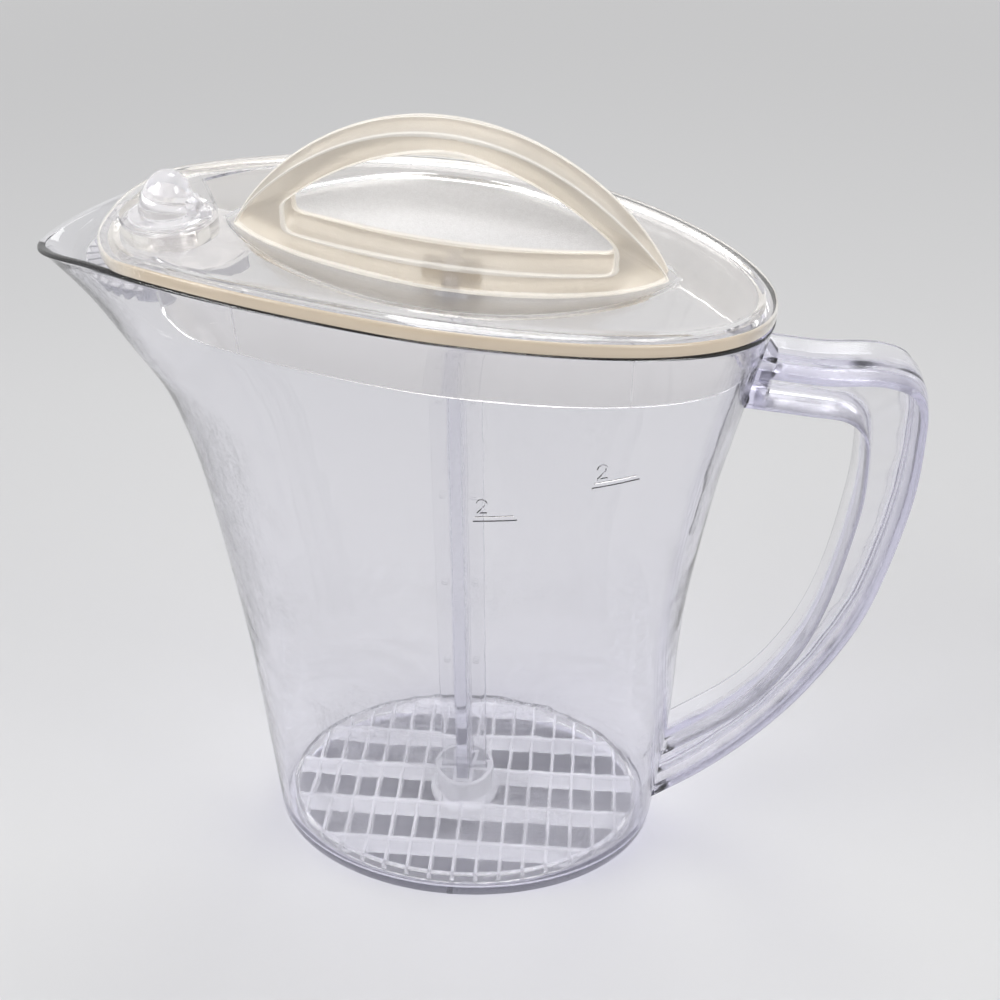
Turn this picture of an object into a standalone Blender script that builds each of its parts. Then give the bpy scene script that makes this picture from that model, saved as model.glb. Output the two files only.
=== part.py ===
"""Covered pitcher with a plunger that stirs and a dial that strains or shuts the spout.

The pitcher stands on z = 0 with the plunger rod on the Z axis, the spout at -X and the grip at +X.
Its rim lies in a curved, tilted sheet: highest at the spout, lowest at the grip. The lid, its dish
and the plunger handle follow that sheet. All sizes are in metres.
"""

from math import cos, pi, radians, sin

import bmesh
import bpy
import numpy as np

# Rim sheet, the surface that holds the lid's top edge
RIM_HEIGHT = 0.2376
RIM_TILT_SHARE = -0.1085
RIM_CURVE_RADIUS = 0.714

# Pitcher body
BASE_HALF_LENGTH = 0.0715
BASE_HALF_WIDTH = 0.0486
SPOUT_REACH = 0.122
GRIP_SIDE_REACH = 0.0935
RIM_HALF_WIDTH = 0.056
WALL = 0.0026
FLOOR = 0.0034
BASE_CORNER = 0.004
SPOUT_DIP = 0.0055
SPOUT_DIP_START = 0.095
SPOUT_POWER_SHARE = 1.62
AROUND = 64
TURNS = np.arange(AROUND) * 2 * pi / AROUND
# height, spout side, grip side, half width and pointedness, each as a share of the way up or out
FLARE_SHARES = (
    (0.08, 0.012, 0.06, 0.05, 0.00),
    (0.18, 0.028, 0.14, 0.16, 0.00),
    (0.28, 0.045, 0.19, 0.27, 0.00),
    (0.40, 0.073, 0.20, 0.38, 0.00),
    (0.50, 0.112, 0.24, 0.48, 0.00),
    (0.60, 0.160, 0.34, 0.58, 0.03),
    (0.68, 0.208, 0.44, 0.65, 0.10),
    (0.75, 0.280, 0.54, 0.72, 0.25),
    (0.81, 0.385, 0.65, 0.79, 0.45),
    (0.87, 0.575, 0.76, 0.86, 0.65),
    (0.93, 0.755, 0.87, 0.93, 0.85),
    (1.00, 1.000, 1.00, 1.00, 1.00),
)

# Grip, a bent I-beam moulded with the body
GRIP_STAND_OUT = 0.0475
GRIP_DROP = 0.0356
GRIP_HALF_WIDTH = 0.012
GRIP_FLANGE = 0.0028
GRIP_WEB = 0.003
GRIP_RIDGE = 0.0011
GRIP_RIDGE_HALF_WIDTH = 0.0068
GRIP_STEPS = 3
# outer x, outer z, inner x, inner z at each station, as shares of the grip's outermost x and its height
GRIP_SHARES = (
    (0.567, 1.018, 0.567, 0.950),
    (0.766, 1.002, 0.738, 0.937),
    (0.905, 1.001, 0.826, 0.929),
    (0.976, 0.974, 0.868, 0.901),
    (0.997, 0.895, 0.881, 0.845),
    (0.999, 0.760, 0.880, 0.745),
    (0.962, 0.571, 0.848, 0.574),
    (0.888, 0.427, 0.787, 0.443),
    (0.781, 0.293, 0.688, 0.332),
    (0.634, 0.166, 0.553, 0.225),
    (0.440, 0.045, 0.383, 0.129),
)

# Lid
LID_SPOUT_REACH = 0.0987
LID_SPOUT_POWER_SHARE = 2.5
LID_EDGE = 0.0038
LID_WALL = 0.0024
LID_EDGE_ROUND = 0.0006
BEAD_HEIGHT = 0.0011
BEAD_CREST_INSET = 0.0042
BEAD_FOOT_INSET = 0.0064
PANEL_DROP = 0.001
SEAT_GAP = 0.0003
SKIRT_DEPTH = 0.021
SKIRT_WALL = 0.002
SKIRT_CLEARANCE = 0.0006
SKIRT_SPOUT_REACH = 0.092
SKIRT_CORNER_SHARE = 0.8
SKIRT_START_ANGLE = radians(38.5)
SKIRT_STATIONS = 45
DISH_INSET = 0.013
DISH_POWER_SHARE = 0.8
DISH_STEPS = 3
DISH_HOLLOW_SHARE = 0.12
SLEEVE_DEPTH = 0.0326
SLEEVE_WALL = 0.002
GUIDE_CLEARANCE = 0.0005

# Plunger handle: a D-shaped loop whose bar lies in the dish
HANDLE_HALF_LENGTH = 0.062
HANDLE_CHORD_DROP = 0.0041
HANDLE_CHORD_TILT_SHARE = -0.105
HANDLE_RISE = 0.036
HANDLE_RISE_POWER_SHARE = 0.85
HANDLE_SAG = 0.0099
HANDLE_BAR_HALF_WIDTH = 0.0086
HANDLE_ARCH_HALF_WIDTH = 0.0074
HANDLE_TIP_HALF_WIDTH = 0.0036
HANDLE_ARCH = 0.0061
HANDLE_ARCH_GROWTH_SHARE = 0.3
OPENING_HALF_LENGTH = 0.046
BAR_TOP_SAG = 0.002
BAR_TOP_LIFT = 0.0017
HANDLE_RIM = 0.0014
HANDLE_RECESS = 0.001
ARCH_STATIONS = 19
BAR_STATIONS = 13
DISH_SIDE_GAP = 0.0018
DISH_END_GAP = 0.0012
DISH_FLOOR_POWER_SHARE = 0.3

# Plunger rod, a cross in plan
ROD_FLANGE_HALF = 0.0083
ROD_FLANGE_HALF_THICKNESS = 0.001
ROD_RIB_HALF = 0.0069
ROD_RIB_HALF_THICKNESS = 0.0022
ROD_FOOT_LIFT = 0.0021
ROD_TENON = 0.0056
JOINT_GAP = 0.0003

# Mixing plate
PLATE_END_GAP = 0.0055
PLATE_SIDE_GAP = 0.0031
PLATE_LIFT = 0.003
PLATE_DEPTH = 0.005
PLATE_RING = 0.0018
SLAT_PITCH = 0.0178
SLAT_OFFSET = 0.0037
SLAT_COUNT = 5
SLAT_REACH = 0.0052
SLAT_THICKNESS = 0.0012
RIB_PITCH = 0.0082
RIB_COUNT = 15
RIB_THICKNESS = 0.0012
RIB_INSET = 0.0008
HUB_FOOT_RADIUS = 0.013
HUB_FOOT_HEIGHT = 0.0026
HUB_RADIUS = 0.011
HUB_HEIGHT = 0.0136
HUB_ROUND = 0.001

# Spout dial: a knob above the lid, keyed to a strainer below it
DIAL_CENTRE = -0.082
DIAL_SEAT_DROP = 0.0021
DIAL_WELL_CLEARANCE = 0.0003
DIAL_BOSS_WALL = 0.001
DIAL_BOSS_DEPTH = 0.006
DIAL_SHAFT_RADIUS = 0.0066
DIAL_SHAFT_CLEARANCE = 0.0004
KNOB_FLANGE_RADIUS = 0.011
KNOB_FLANGE = 0.0016
KNOB_GROOVE_RADIUS = 0.0072
KNOB_GROOVE = 0.0008
KNOB_DOME_RADIUS = 0.0079
KNOB_DOME = 0.0114
KNOB_DOME_LEAN = 0.0018
KNOB_DOME_TURN_STEPS = 7
KNOB_FIN_HALF_THICKNESS = 0.0013
KNOB_FIN_REACH = 0.0102
KNOB_FIN_FOOT_HEIGHT = 0.0036
KNOB_FIN_TOP_SHARE = 0.66
KNOB_POINTER_RADIUS = 0.002
KNOB_POINTER_HEIGHT = 0.0028
KEY_HALF = 0.0042
STRAINER_CLEARANCE = 0.0006
STRAINER_DISC = 0.0018
STRAINER_DISC_DROP = 0.0025
STRAINER_HUB_RADIUS = 0.0095
STRAINER_DROP = 0.0009
STRAINER_WALL_DEPTH = 0.0036
STRAINER_WALL = 0.0016
TOOTH_LENGTH = 0.0084
TOOTH_THICKNESS = 0.0012
TOOTH_CHAMFER = 0.0026
TOOTH_DROP = 0.0014
TOOTH_COUNT = 16
TOOTH_FIRST_ANGLE = radians(97)
TOOTH_STEP_ANGLE = radians(11)
STRAINER_WALL_FIRST_ANGLE = radians(268)
STRAINER_WALL_LAST_ANGLE = radians(348)
STRAINER_WALL_STATIONS = 11
DIAL_SEGMENTS = 32

# How far a cutter runs past what it cuts, and how far a joined shape is sunk into its neighbour
OVERRUN = 0.005
SINK = 0.0008

CLEAR = ((0.86, 0.87, 0.93), 0.06, 0.30)
LID_CLEAR = ((0.90, 0.86, 0.78), 0.08, 0.32)
FROSTED = ((0.93, 0.90, 0.83), 0.38, 0.85)


def clear_scene():
    for old in list(bpy.data.objects):
        bpy.data.objects.remove(old, do_unlink=True)


def plastic(name, look):
    """Principled plastic: look is colour, roughness and opacity."""
    colour, roughness, opacity = look
    made = bpy.data.materials.new(name)
    made.use_nodes = True
    shader = made.node_tree.nodes["Principled BSDF"]
    shader.inputs["Base Color"].default_value = (*colour, 1.0)
    shader.inputs["Roughness"].default_value = roughness
    shader.inputs["Metallic"].default_value = 0.0
    shader.inputs["Alpha"].default_value = opacity
    return made


def solid(name, points, faces, look=None):
    """A mesh object with its faces turned outwards."""
    mesh = bpy.data.meshes.new(name)
    mesh.from_pydata([tuple(map(float, p)) for p in points], [], faces)
    shape = bmesh.new()
    shape.from_mesh(mesh)
    bmesh.ops.recalc_face_normals(shape, faces=shape.faces)
    shape.to_mesh(mesh)
    shape.free()
    made = bpy.data.objects.new(name, mesh)
    bpy.context.scene.collection.objects.link(made)
    if look is None:
        made.hide_render = True
        made.display_type = "WIRE"
    else:
        mesh.materials.append(plastic(name, look))
        mesh.shade_smooth()
        mesh.set_sharp_from_angle(angle=radians(32))
    return made


def combine(target, other, operation):
    """Adds, cuts or keeps what the hidden shape shares with the target."""
    step = target.modifiers.new(operation.lower() + "_" + other.name, "BOOLEAN")
    step.operation = operation
    step.solver = "EXACT"
    step.object = other


def sweep(sections, closed=False):
    """Points and faces of a closed tube: sections is (stations, points around, 3)."""
    stations, around = len(sections), len(sections[0])
    points = np.asarray(sections, float).reshape(-1, 3)
    runs = stations if closed else stations - 1
    faces = [
        (
            i * around + j,
            i * around + (j + 1) % around,
            (i + 1) % stations * around + (j + 1) % around,
            (i + 1) % stations * around + j,
        )
        for i in range(runs)
        for j in range(around)
    ]
    if not closed:
        faces.append(tuple(range(around)))
        faces.append(tuple((stations - 1) * around + j for j in range(around)))
    return points, faces


def prism(name, outline, low, high, look=None):
    """An upright prism on a plan outline; low and high may change from point to point."""
    flat = np.asarray(outline, float)
    sections = [np.column_stack([flat, np.broadcast_to(z, len(flat))]) for z in (low, high)]
    return solid(name, *sweep(sections), look)


def turned(name, profile, look=None):
    """A turned solid: profile rows are radius, height and, for a leaning shape, a shift along X."""
    turn = np.arange(DIAL_SEGMENTS) * 2 * pi / DIAL_SEGMENTS
    rings = [
        np.column_stack([sum(lean) + r * np.cos(turn), r * np.sin(turn), np.full(DIAL_SEGMENTS, z)])
        for r, z, *lean in profile
    ]
    return solid(name, *sweep(rings), look)


def on_dial(shape, shift=0.0):
    """Moves a shape onto the dial's axis, or along X from it."""
    shape.location.x = DIAL_CENTRE + shift
    return shape


def rim_sheet(x):
    """Height of the lid's top edge: a tilt and a slight crown along X."""
    return RIM_HEIGHT + RIM_TILT_SHARE * x - x**2 / (2 * RIM_CURVE_RADIUS)


def pitcher_rim(x):
    """Height of the pitcher's rim: under the lid's edge, dipping towards the spout's tip."""
    along = np.clip((-x - SPOUT_DIP_START) / (SPOUT_REACH - SPOUT_DIP_START), 0, 1)
    return rim_sheet(x) - LID_EDGE - SEAT_GAP - SPOUT_DIP * along**1.5


def oval(spout_side, grip_side, half_width, power=2.0, turns=TURNS):
    """A closed plan curve: an ellipse towards the grip, a superellipse towards the spout."""
    c, s = np.cos(turns), np.sin(turns)
    exponent = np.where(c < 0, 2 / power, 1.0)
    reach = np.where(c < 0, spout_side, grip_side)
    x = np.sign(c) * reach * np.abs(c) ** exponent
    y = np.sign(s) * half_width * np.abs(s) ** exponent
    return np.column_stack([x, y])


def cut_short(ring, reach, half_width, power):
    """A plan curve whose spout side is cut short by a superellipse."""
    out = np.linalg.norm(ring, axis=1)
    c, s = np.abs(ring.T) / out
    blunt = ((c / reach) ** power + (s / half_width) ** power) ** (-1 / power)
    return ring * np.where(ring[:, 0] < 0, np.minimum(1, blunt / out), 1)[:, None]


def body_oval(share, inset, turns=TURNS):
    """The body's plan at a share of its height, drawn in by an inset."""
    table = np.array(FLARE_SHARES)
    spout, grip, width, point = (np.interp(share, table[:, 0], table[:, k]) for k in range(1, 5))
    return oval(
        BASE_HALF_LENGTH + (SPOUT_REACH - BASE_HALF_LENGTH) * spout - inset,
        BASE_HALF_LENGTH + (GRIP_SIDE_REACH - BASE_HALF_LENGTH) * grip - inset,
        BASE_HALF_WIDTH + (RIM_HALF_WIDTH - BASE_HALF_WIDTH) * width - inset,
        2 - (2 - SPOUT_POWER_SHARE) * point,
        turns,
    )


def dial_seat():
    """The dial sits a little below the lid's top edge."""
    return rim_sheet(DIAL_CENTRE) - DIAL_SEAT_DROP


def boss_bottom():
    return dial_seat() - DIAL_BOSS_DEPTH


def disc_top():
    return boss_bottom() - STRAINER_DISC_DROP


def strainer_bottom():
    return disc_top() - STRAINER_DISC - STRAINER_WALL_DEPTH


def strainer_radius():
    """From the dial's axis to the spout's nearest wall, less a clearance."""
    wall = body_oval(strainer_bottom() / pitcher_rim(DIAL_CENTRE), WALL)
    return np.linalg.norm(wall - [DIAL_CENTRE, 0], axis=1).min() - STRAINER_CLEARANCE


def body_solid(name, inset, bottom, top_share, look=None):
    """The body's outer shape, or its cavity when an inset and a floor are given."""
    rings = []
    for turn in (0, pi / 6, pi / 3, pi / 2):
        draw_in = inset + BASE_CORNER * (1 - sin(turn))
        rim = oval(BASE_HALF_LENGTH - draw_in, BASE_HALF_LENGTH - draw_in, BASE_HALF_WIDTH - draw_in)
        height = bottom + BASE_CORNER * (1 - cos(turn))
        rings.append(np.column_stack([rim, np.full(AROUND, height)]))
    for share in [row[0] for row in FLARE_SHARES[:-1]] + [top_share]:
        rim = body_oval(share, inset)
        rings.append(np.column_stack([rim, share * pitcher_rim(rim[:, 0])]))
    points, faces = sweep(rings)
    faces.pop()
    peak = len(points)
    last = peak - AROUND
    points = np.vstack([points, [0, 0, top_share * pitcher_rim(0.0)]])
    faces += [(last + j, last + (j + 1) % AROUND, peak) for j in range(AROUND)]
    return solid(name, points, faces, look)


def smooth(rows, steps):
    """A smooth curve through the rows, with a number of stations from each row to the next."""
    rows = np.asarray(rows, float)
    padded = np.vstack([2 * rows[0] - rows[1], rows, 2 * rows[-1] - rows[-2]])
    t = (np.arange(steps) / steps)[:, None]
    spans = [
        b + t * (c - a) / 2 + t**2 * (2 * a - 5 * b + 4 * c - d) / 2 + t**3 * (3 * b - a - 3 * c + d) / 2
        for a, b, c, d in zip(padded, padded[1:], padded[2:], padded[3:])
    ]
    return np.vstack([*spans, rows[-1:]])


def grip_solid():
    """I-beam swept along the grip; its ends run into the body, where the cavity trims them."""
    w, ridge = GRIP_HALF_WIDTH, GRIP_RIDGE_HALF_WIDTH
    reach, height = GRIP_SIDE_REACH + GRIP_STAND_OUT, RIM_HEIGHT - GRIP_DROP
    sections = []
    for outer_x, outer_z, inner_x, inner_z in smooth(GRIP_SHARES, GRIP_STEPS):
        outer = np.array([outer_x * reach, 0, outer_z * height])
        inner = np.array([inner_x * reach, 0, inner_z * height])
        depth = np.linalg.norm(outer - inner)
        out = (outer - inner) / depth
        half = [
            (0, w),
            (GRIP_FLANGE, w),
            (GRIP_FLANGE, GRIP_WEB / 2),
            (depth - GRIP_FLANGE, GRIP_WEB / 2),
            (depth - GRIP_FLANGE, w),
            (depth, w),
            (depth, ridge),
            (depth + GRIP_RIDGE, ridge - GRIP_RIDGE),
        ]
        profile = half + [(d, -y) for d, y in reversed(half)]
        sections.append([inner + out * d + np.array([0, y, 0]) for d, y in profile])
    return solid("grip_shape", *sweep(sections))


def build_pitcher():
    pitcher = body_solid("pitcher", 0, 0, 1, CLEAR)
    combine(pitcher, grip_solid(), "UNION")
    cavity = body_solid("cavity_shape", WALL, FLOOR, 1 + OVERRUN / RIM_HEIGHT)
    combine(pitcher, cavity, "DIFFERENCE")
    return pitcher


def handle_chord(x):
    """Height of the straight line between the plunger handle's two tips."""
    return RIM_HEIGHT - HANDLE_CHORD_DROP + HANDLE_CHORD_TILT_SHARE * x


def handle_arch(x):
    span = np.clip(1 - (x / HANDLE_HALF_LENGTH) ** 2, 0, 1)
    return handle_chord(x) + HANDLE_RISE * span**HANDLE_RISE_POWER_SHARE


def handle_keel(x):
    return handle_chord(x) - HANDLE_SAG * np.clip(1 - (x / HANDLE_HALF_LENGTH) ** 2, 0, 1)


def bar_top(x):
    rise = BAR_TOP_SAG + BAR_TOP_LIFT
    return handle_chord(x) - BAR_TOP_SAG + rise * (x / OPENING_HALF_LENGTH) ** 2


def dish_floor(x):
    return handle_keel(x) - SEAT_GAP


def lens(half_length, half_width, power):
    """A pointed oval: the half width falls off with a power of one minus the squared length."""
    x = half_length * np.cos(TURNS)
    y = half_width * np.sign(np.sin(TURNS)) * np.clip(1 - np.cos(TURNS) ** 2, 0, 1) ** power
    return np.column_stack([x, y])


def lid_rows(thickness):
    """Rings of the lid from its bead to the dish floor, lowered by a thickness."""
    rows = []
    for inset, lift in ((BEAD_CREST_INSET, BEAD_HEIGHT), (BEAD_FOOT_INSET, -PANEL_DROP)):
        ring = lid_oval(inset)
        rows.append(np.column_stack([ring, rim_sheet(ring[:, 0]) + lift - thickness]))
    brim_length, floor_length = (HANDLE_HALF_LENGTH + DISH_END_GAP + gap for gap in (DISH_SIDE_GAP, 0))
    brim = lens(brim_length, RIM_HALF_WIDTH - DISH_INSET, DISH_POWER_SHARE)
    floor = lens(floor_length, HANDLE_BAR_HALF_WIDTH + DISH_SIDE_GAP, DISH_FLOOR_POWER_SHARE)
    brim_z = rim_sheet(brim[:, 0]) - PANEL_DROP
    floor_z = dish_floor(floor[:, 0])
    for step in range(DISH_STEPS + 1):
        share = step / DISH_STEPS
        sunk = share + DISH_HOLLOW_SHARE * sin(pi * share)
        ring = brim + (floor - brim) * share
        rows.append(np.column_stack([ring, brim_z + (floor_z - brim_z) * sunk - thickness]))
    return rows


def lid_oval(inset):
    """The pitcher's rim cut short by a blunt end, drawn in by an inset."""
    width = RIM_HALF_WIDTH - inset
    ring = oval(SPOUT_REACH - inset, GRIP_SIDE_REACH - inset, width, SPOUT_POWER_SHARE)
    return cut_short(ring, LID_SPOUT_REACH - inset, width, LID_SPOUT_POWER_SHARE)


def floor_strips(first, flip):
    """Quads across a ring that is the same on both sides of y = 0."""
    strips = []
    for k in range(AROUND // 2):
        strip = [first + j % AROUND for j in (k, k + 1, AROUND - k - 1, AROUND - k)]
        strip = list(dict.fromkeys(strip))
        strips.append(tuple(reversed(strip)) if flip else tuple(strip))
    return strips


def lid_shell():
    """Rings from the dish floor out over the lid, round its edge, and back beneath it."""
    edge = []
    for inset, lift in (
        (LID_EDGE_ROUND, 0),
        (0, -LID_EDGE_ROUND),
        (0, LID_EDGE_ROUND - LID_EDGE),
        (LID_EDGE_ROUND, -LID_EDGE),
    ):
        ring = lid_oval(inset)
        edge.append(np.column_stack([ring, rim_sheet(ring[:, 0]) + lift]))
    under = lid_rows(LID_WALL)
    ring = lid_oval(BEAD_CREST_INSET)
    under[0] = np.column_stack([ring, rim_sheet(ring[:, 0]) - LID_EDGE])
    rings = lid_rows(0)[::-1] + edge + under
    points, faces = sweep(rings)
    faces = faces[:-2]
    faces += floor_strips(0, True) + floor_strips(len(points) - AROUND, False)
    return solid("lid", points, faces, LID_CLEAR)


def skirt_solid():
    """The wall under the lid, open towards the spout, that plugs into the pitcher's mouth."""
    turns = np.linspace(pi + SKIRT_START_ANGLE, 3 * pi - SKIRT_START_ANGLE, SKIRT_STATIONS)
    depth = np.full(SKIRT_STATIONS, SKIRT_DEPTH)
    depth[[0, -1]] *= SKIRT_CORNER_SHARE
    rings = []
    for wall, low in ((0, False), (0, True), (SKIRT_WALL, True), (SKIRT_WALL, False)):
        down = depth if low else np.full(SKIRT_STATIONS, LID_EDGE - SINK)
        ring = body_oval(1 - SKIRT_DEPTH / RIM_HEIGHT if low else 1, WALL + SKIRT_CLEARANCE + wall, turns)
        ring = cut_short(ring, SKIRT_SPOUT_REACH - wall, ring[:, 1].max(), 2.0)
        rings.append(np.column_stack([ring, rim_sheet(ring[:, 0]) - down]))
    return solid("skirt_shape", *sweep(np.stack(rings, axis=1)))


def cross(half_x, half_x_thickness, half_y, half_y_thickness, grow=0.0):
    """Plan of two crossed bars, grown by a clearance or a wall."""
    a, b = half_x + grow, half_x_thickness + grow
    c, d = half_y_thickness + grow, half_y + grow
    corner = [(a, b), (c, b), (c, d)]
    quarter = corner + [(-x, y) for x, y in reversed(corner)]
    return quarter + [(x, -y) for x, y in reversed(quarter)]


def rod_cross(grow=0.0):
    return cross(ROD_FLANGE_HALF, ROD_FLANGE_HALF_THICKNESS, ROD_RIB_HALF, ROD_RIB_HALF_THICKNESS, grow)


def build_lid():
    lid = lid_shell()
    combine(lid, skirt_solid(), "UNION")
    sleeve_bottom = RIM_HEIGHT - SLEEVE_DEPTH
    sleeve = np.array(rod_cross(GUIDE_CLEARANCE + SLEEVE_WALL))
    sleeve_top = dish_floor(sleeve[:, 0]) - LID_WALL / 2
    combine(lid, prism("sleeve_shape", sleeve, sleeve_bottom, sleeve_top), "UNION")
    well_radius = KNOB_FLANGE_RADIUS + KNOB_POINTER_RADIUS + DIAL_WELL_CLEARANCE
    boss_radius = well_radius + DIAL_BOSS_WALL
    boss = [(boss_radius, boss_bottom()), (boss_radius, dial_seat())]
    combine(lid, on_dial(turned("boss_shape", boss)), "UNION")
    guide = prism("guide_cutter", rod_cross(GUIDE_CLEARANCE), sleeve_bottom - OVERRUN, RIM_HEIGHT + OVERRUN)
    combine(lid, guide, "DIFFERENCE")
    well = [(well_radius, dial_seat()), (well_radius, dial_seat() + OVERRUN)]
    combine(lid, on_dial(turned("well_cutter", well)), "DIFFERENCE")
    radius = DIAL_SHAFT_RADIUS + DIAL_SHAFT_CLEARANCE
    bore = [(radius, boss_bottom() - OVERRUN), (radius, dial_seat() + OVERRUN)]
    combine(lid, on_dial(turned("bore_cutter", bore)), "DIFFERENCE")
    return lid


def handle_sections():
    """Stations round the D: over the arch from the spout side, then back along the bar."""
    length, opening = HANDLE_HALF_LENGTH, OPENING_HALF_LENGTH
    spans = []
    for u in np.linspace(-1, 1, ARCH_STATIONS):
        x_out, x_in = length * sin(u * pi / 2), opening * u
        depth = HANDLE_ARCH * (1 + HANDLE_ARCH_GROWTH_SHARE * u**2)
        spans.append((x_out, handle_arch(x_out), x_in, handle_arch(x_in) - depth))
    for u in np.linspace(1, -1, BAR_STATIONS):
        x_out, x_in = (length - HANDLE_ARCH / 2) * u, opening * u
        spans.append((x_out, handle_keel(x_out), x_in, bar_top(x_in)))
    return spans


def handle_half_width(x, z):
    """Half width across: widest at the bar, narrower up the arch and round at the tips."""
    up = np.clip((z - handle_chord(x)) / HANDLE_RISE, 0, 1)
    width = HANDLE_BAR_HALF_WIDTH + (HANDLE_ARCH_HALF_WIDTH - HANDLE_BAR_HALF_WIDTH) * up
    tip = min(1, abs(x) / HANDLE_HALF_LENGTH) ** 8
    return width + (HANDLE_TIP_HALF_WIDTH - width) * tip


def build_plunger_handle():
    rim, recess = HANDLE_RIM, HANDLE_RECESS
    sections = []
    for x_out, z_out, x_in, z_in in handle_sections():
        outer, inner = np.array([x_out, 0, z_out]), np.array([x_in, 0, z_in])
        depth = np.linalg.norm(outer - inner)
        out = (outer - inner) / depth
        w_in, w_out = handle_half_width(x_in, z_in), handle_half_width(x_out, z_out)

        def across(d):
            return w_in + (w_out - w_in) * d / depth

        half = [
            (recess, w_in - rim),
            (0, w_in - rim),
            (0, w_in),
            (rim, across(rim)),
            (rim, across(rim) - recess),
            (depth - rim, across(depth - rim) - recess),
            (depth - rim, across(depth - rim)),
            (depth, w_out),
        ]
        profile = half + [(d, -y) for d, y in reversed(half)]
        sections.append([inner + out * d + np.array([0, y, 0]) for d, y in profile])
    handle = solid("plunger_handle", *sweep(sections, closed=True), FROSTED)
    socket = prism("socket_cutter", rod_cross(JOINT_GAP), RIM_HEIGHT - SLEEVE_DEPTH, rod_top() + JOINT_GAP)
    combine(handle, socket, "DIFFERENCE")
    return handle


def rod_top():
    """The rod's tenon stands in the plunger handle's bar."""
    return handle_keel(0.0) + ROD_TENON


def build_plunger_rod():
    foot = FLOOR + PLATE_LIFT + ROD_FOOT_LIFT
    return prism("plunger_rod", rod_cross(), foot, rod_top(), CLEAR)


def boxes(name, corners):
    """Separate hexahedra as one hidden shape; each is eight corners, four below and four above."""
    points, faces = [], []
    for corner in corners:
        first = len(points)
        points += corner
        ring = [(0, 1, 2, 3), (4, 5, 6, 7)] + [(k, (k + 1) % 4, 4 + (k + 1) % 4, 4 + k) for k in range(4)]
        faces += [tuple(first + i for i in face) for face in ring]
    return solid(name, points, faces)


def slats_solid():
    """Slanted strips along X."""
    reach = BASE_HALF_LENGTH
    bottom_z = FLOOR + PLATE_LIFT + RIB_INSET
    top_z = FLOOR + PLATE_LIFT + PLATE_DEPTH - RIB_INSET / 2
    strips = []
    for k in range(SLAT_COUNT):
        y = (k - (SLAT_COUNT - 1) / 2) * SLAT_PITCH + SLAT_OFFSET
        low, high = y - SLAT_REACH / 2, y + SLAT_REACH / 2
        t = SLAT_THICKNESS
        bottom = [(-reach, low), (reach, low), (reach, low + t), (-reach, low + t)]
        top = [(-reach, high - t), (reach, high - t), (reach, high), (-reach, high)]
        strips.append([(x, v, bottom_z) for x, v in bottom] + [(x, v, top_z) for x, v in top])
    return boxes("slats_shape", strips)


def ribs_solid():
    """Upright cross ribs along Y."""
    reach, t = BASE_HALF_WIDTH, RIB_THICKNESS / 2
    low = FLOOR + PLATE_LIFT + RIB_INSET / 2
    high = FLOOR + PLATE_LIFT + PLATE_DEPTH - RIB_INSET
    bars = []
    for k in range(RIB_COUNT):
        x = (k - (RIB_COUNT - 1) / 2) * RIB_PITCH
        plan = [(x - t, -reach), (x + t, -reach), (x + t, reach), (x - t, reach)]
        bars.append([(u, v, low) for u, v in plan] + [(u, v, high) for u, v in plan])
    return boxes("ribs_shape", bars)


def build_mixing_plate():
    length, width = BASE_HALF_LENGTH - PLATE_END_GAP, BASE_HALF_WIDTH - PLATE_SIDE_GAP
    low, high = FLOOR + PLATE_LIFT, FLOOR + PLATE_LIFT + PLATE_DEPTH

    def ring(inset):
        return oval(length - inset, length - inset, width - inset)

    section = ((0, low), (0, high), (PLATE_RING, high), (PLATE_RING, low))
    loops = [np.column_stack([ring(inset), np.full(AROUND, z)]) for inset, z in section]
    plate = solid("mixing_plate", *sweep(np.stack(loops, axis=1), closed=True), CLEAR)
    for bars in (slats_solid(), ribs_solid()):
        trim = prism(bars.name + "_trim", ring(PLATE_RING / 2), low - OVERRUN, high + OVERRUN)
        combine(bars, trim, "INTERSECT")
        combine(plate, bars, "UNION")
    foot_top, hub_top = low + HUB_FOOT_HEIGHT, low + HUB_HEIGHT
    hub = [
        (HUB_FOOT_RADIUS, low),
        (HUB_FOOT_RADIUS, foot_top),
        (HUB_RADIUS, foot_top + HUB_ROUND),
        (HUB_RADIUS, hub_top - HUB_ROUND),
        (HUB_RADIUS - HUB_ROUND, hub_top),
    ]
    combine(plate, turned("hub_shape", hub), "UNION")
    socket = prism("hub_cutter", rod_cross(JOINT_GAP), low + ROD_FOOT_LIFT - JOINT_GAP, hub_top + OVERRUN)
    combine(plate, socket, "DIFFERENCE")
    return plate


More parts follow.
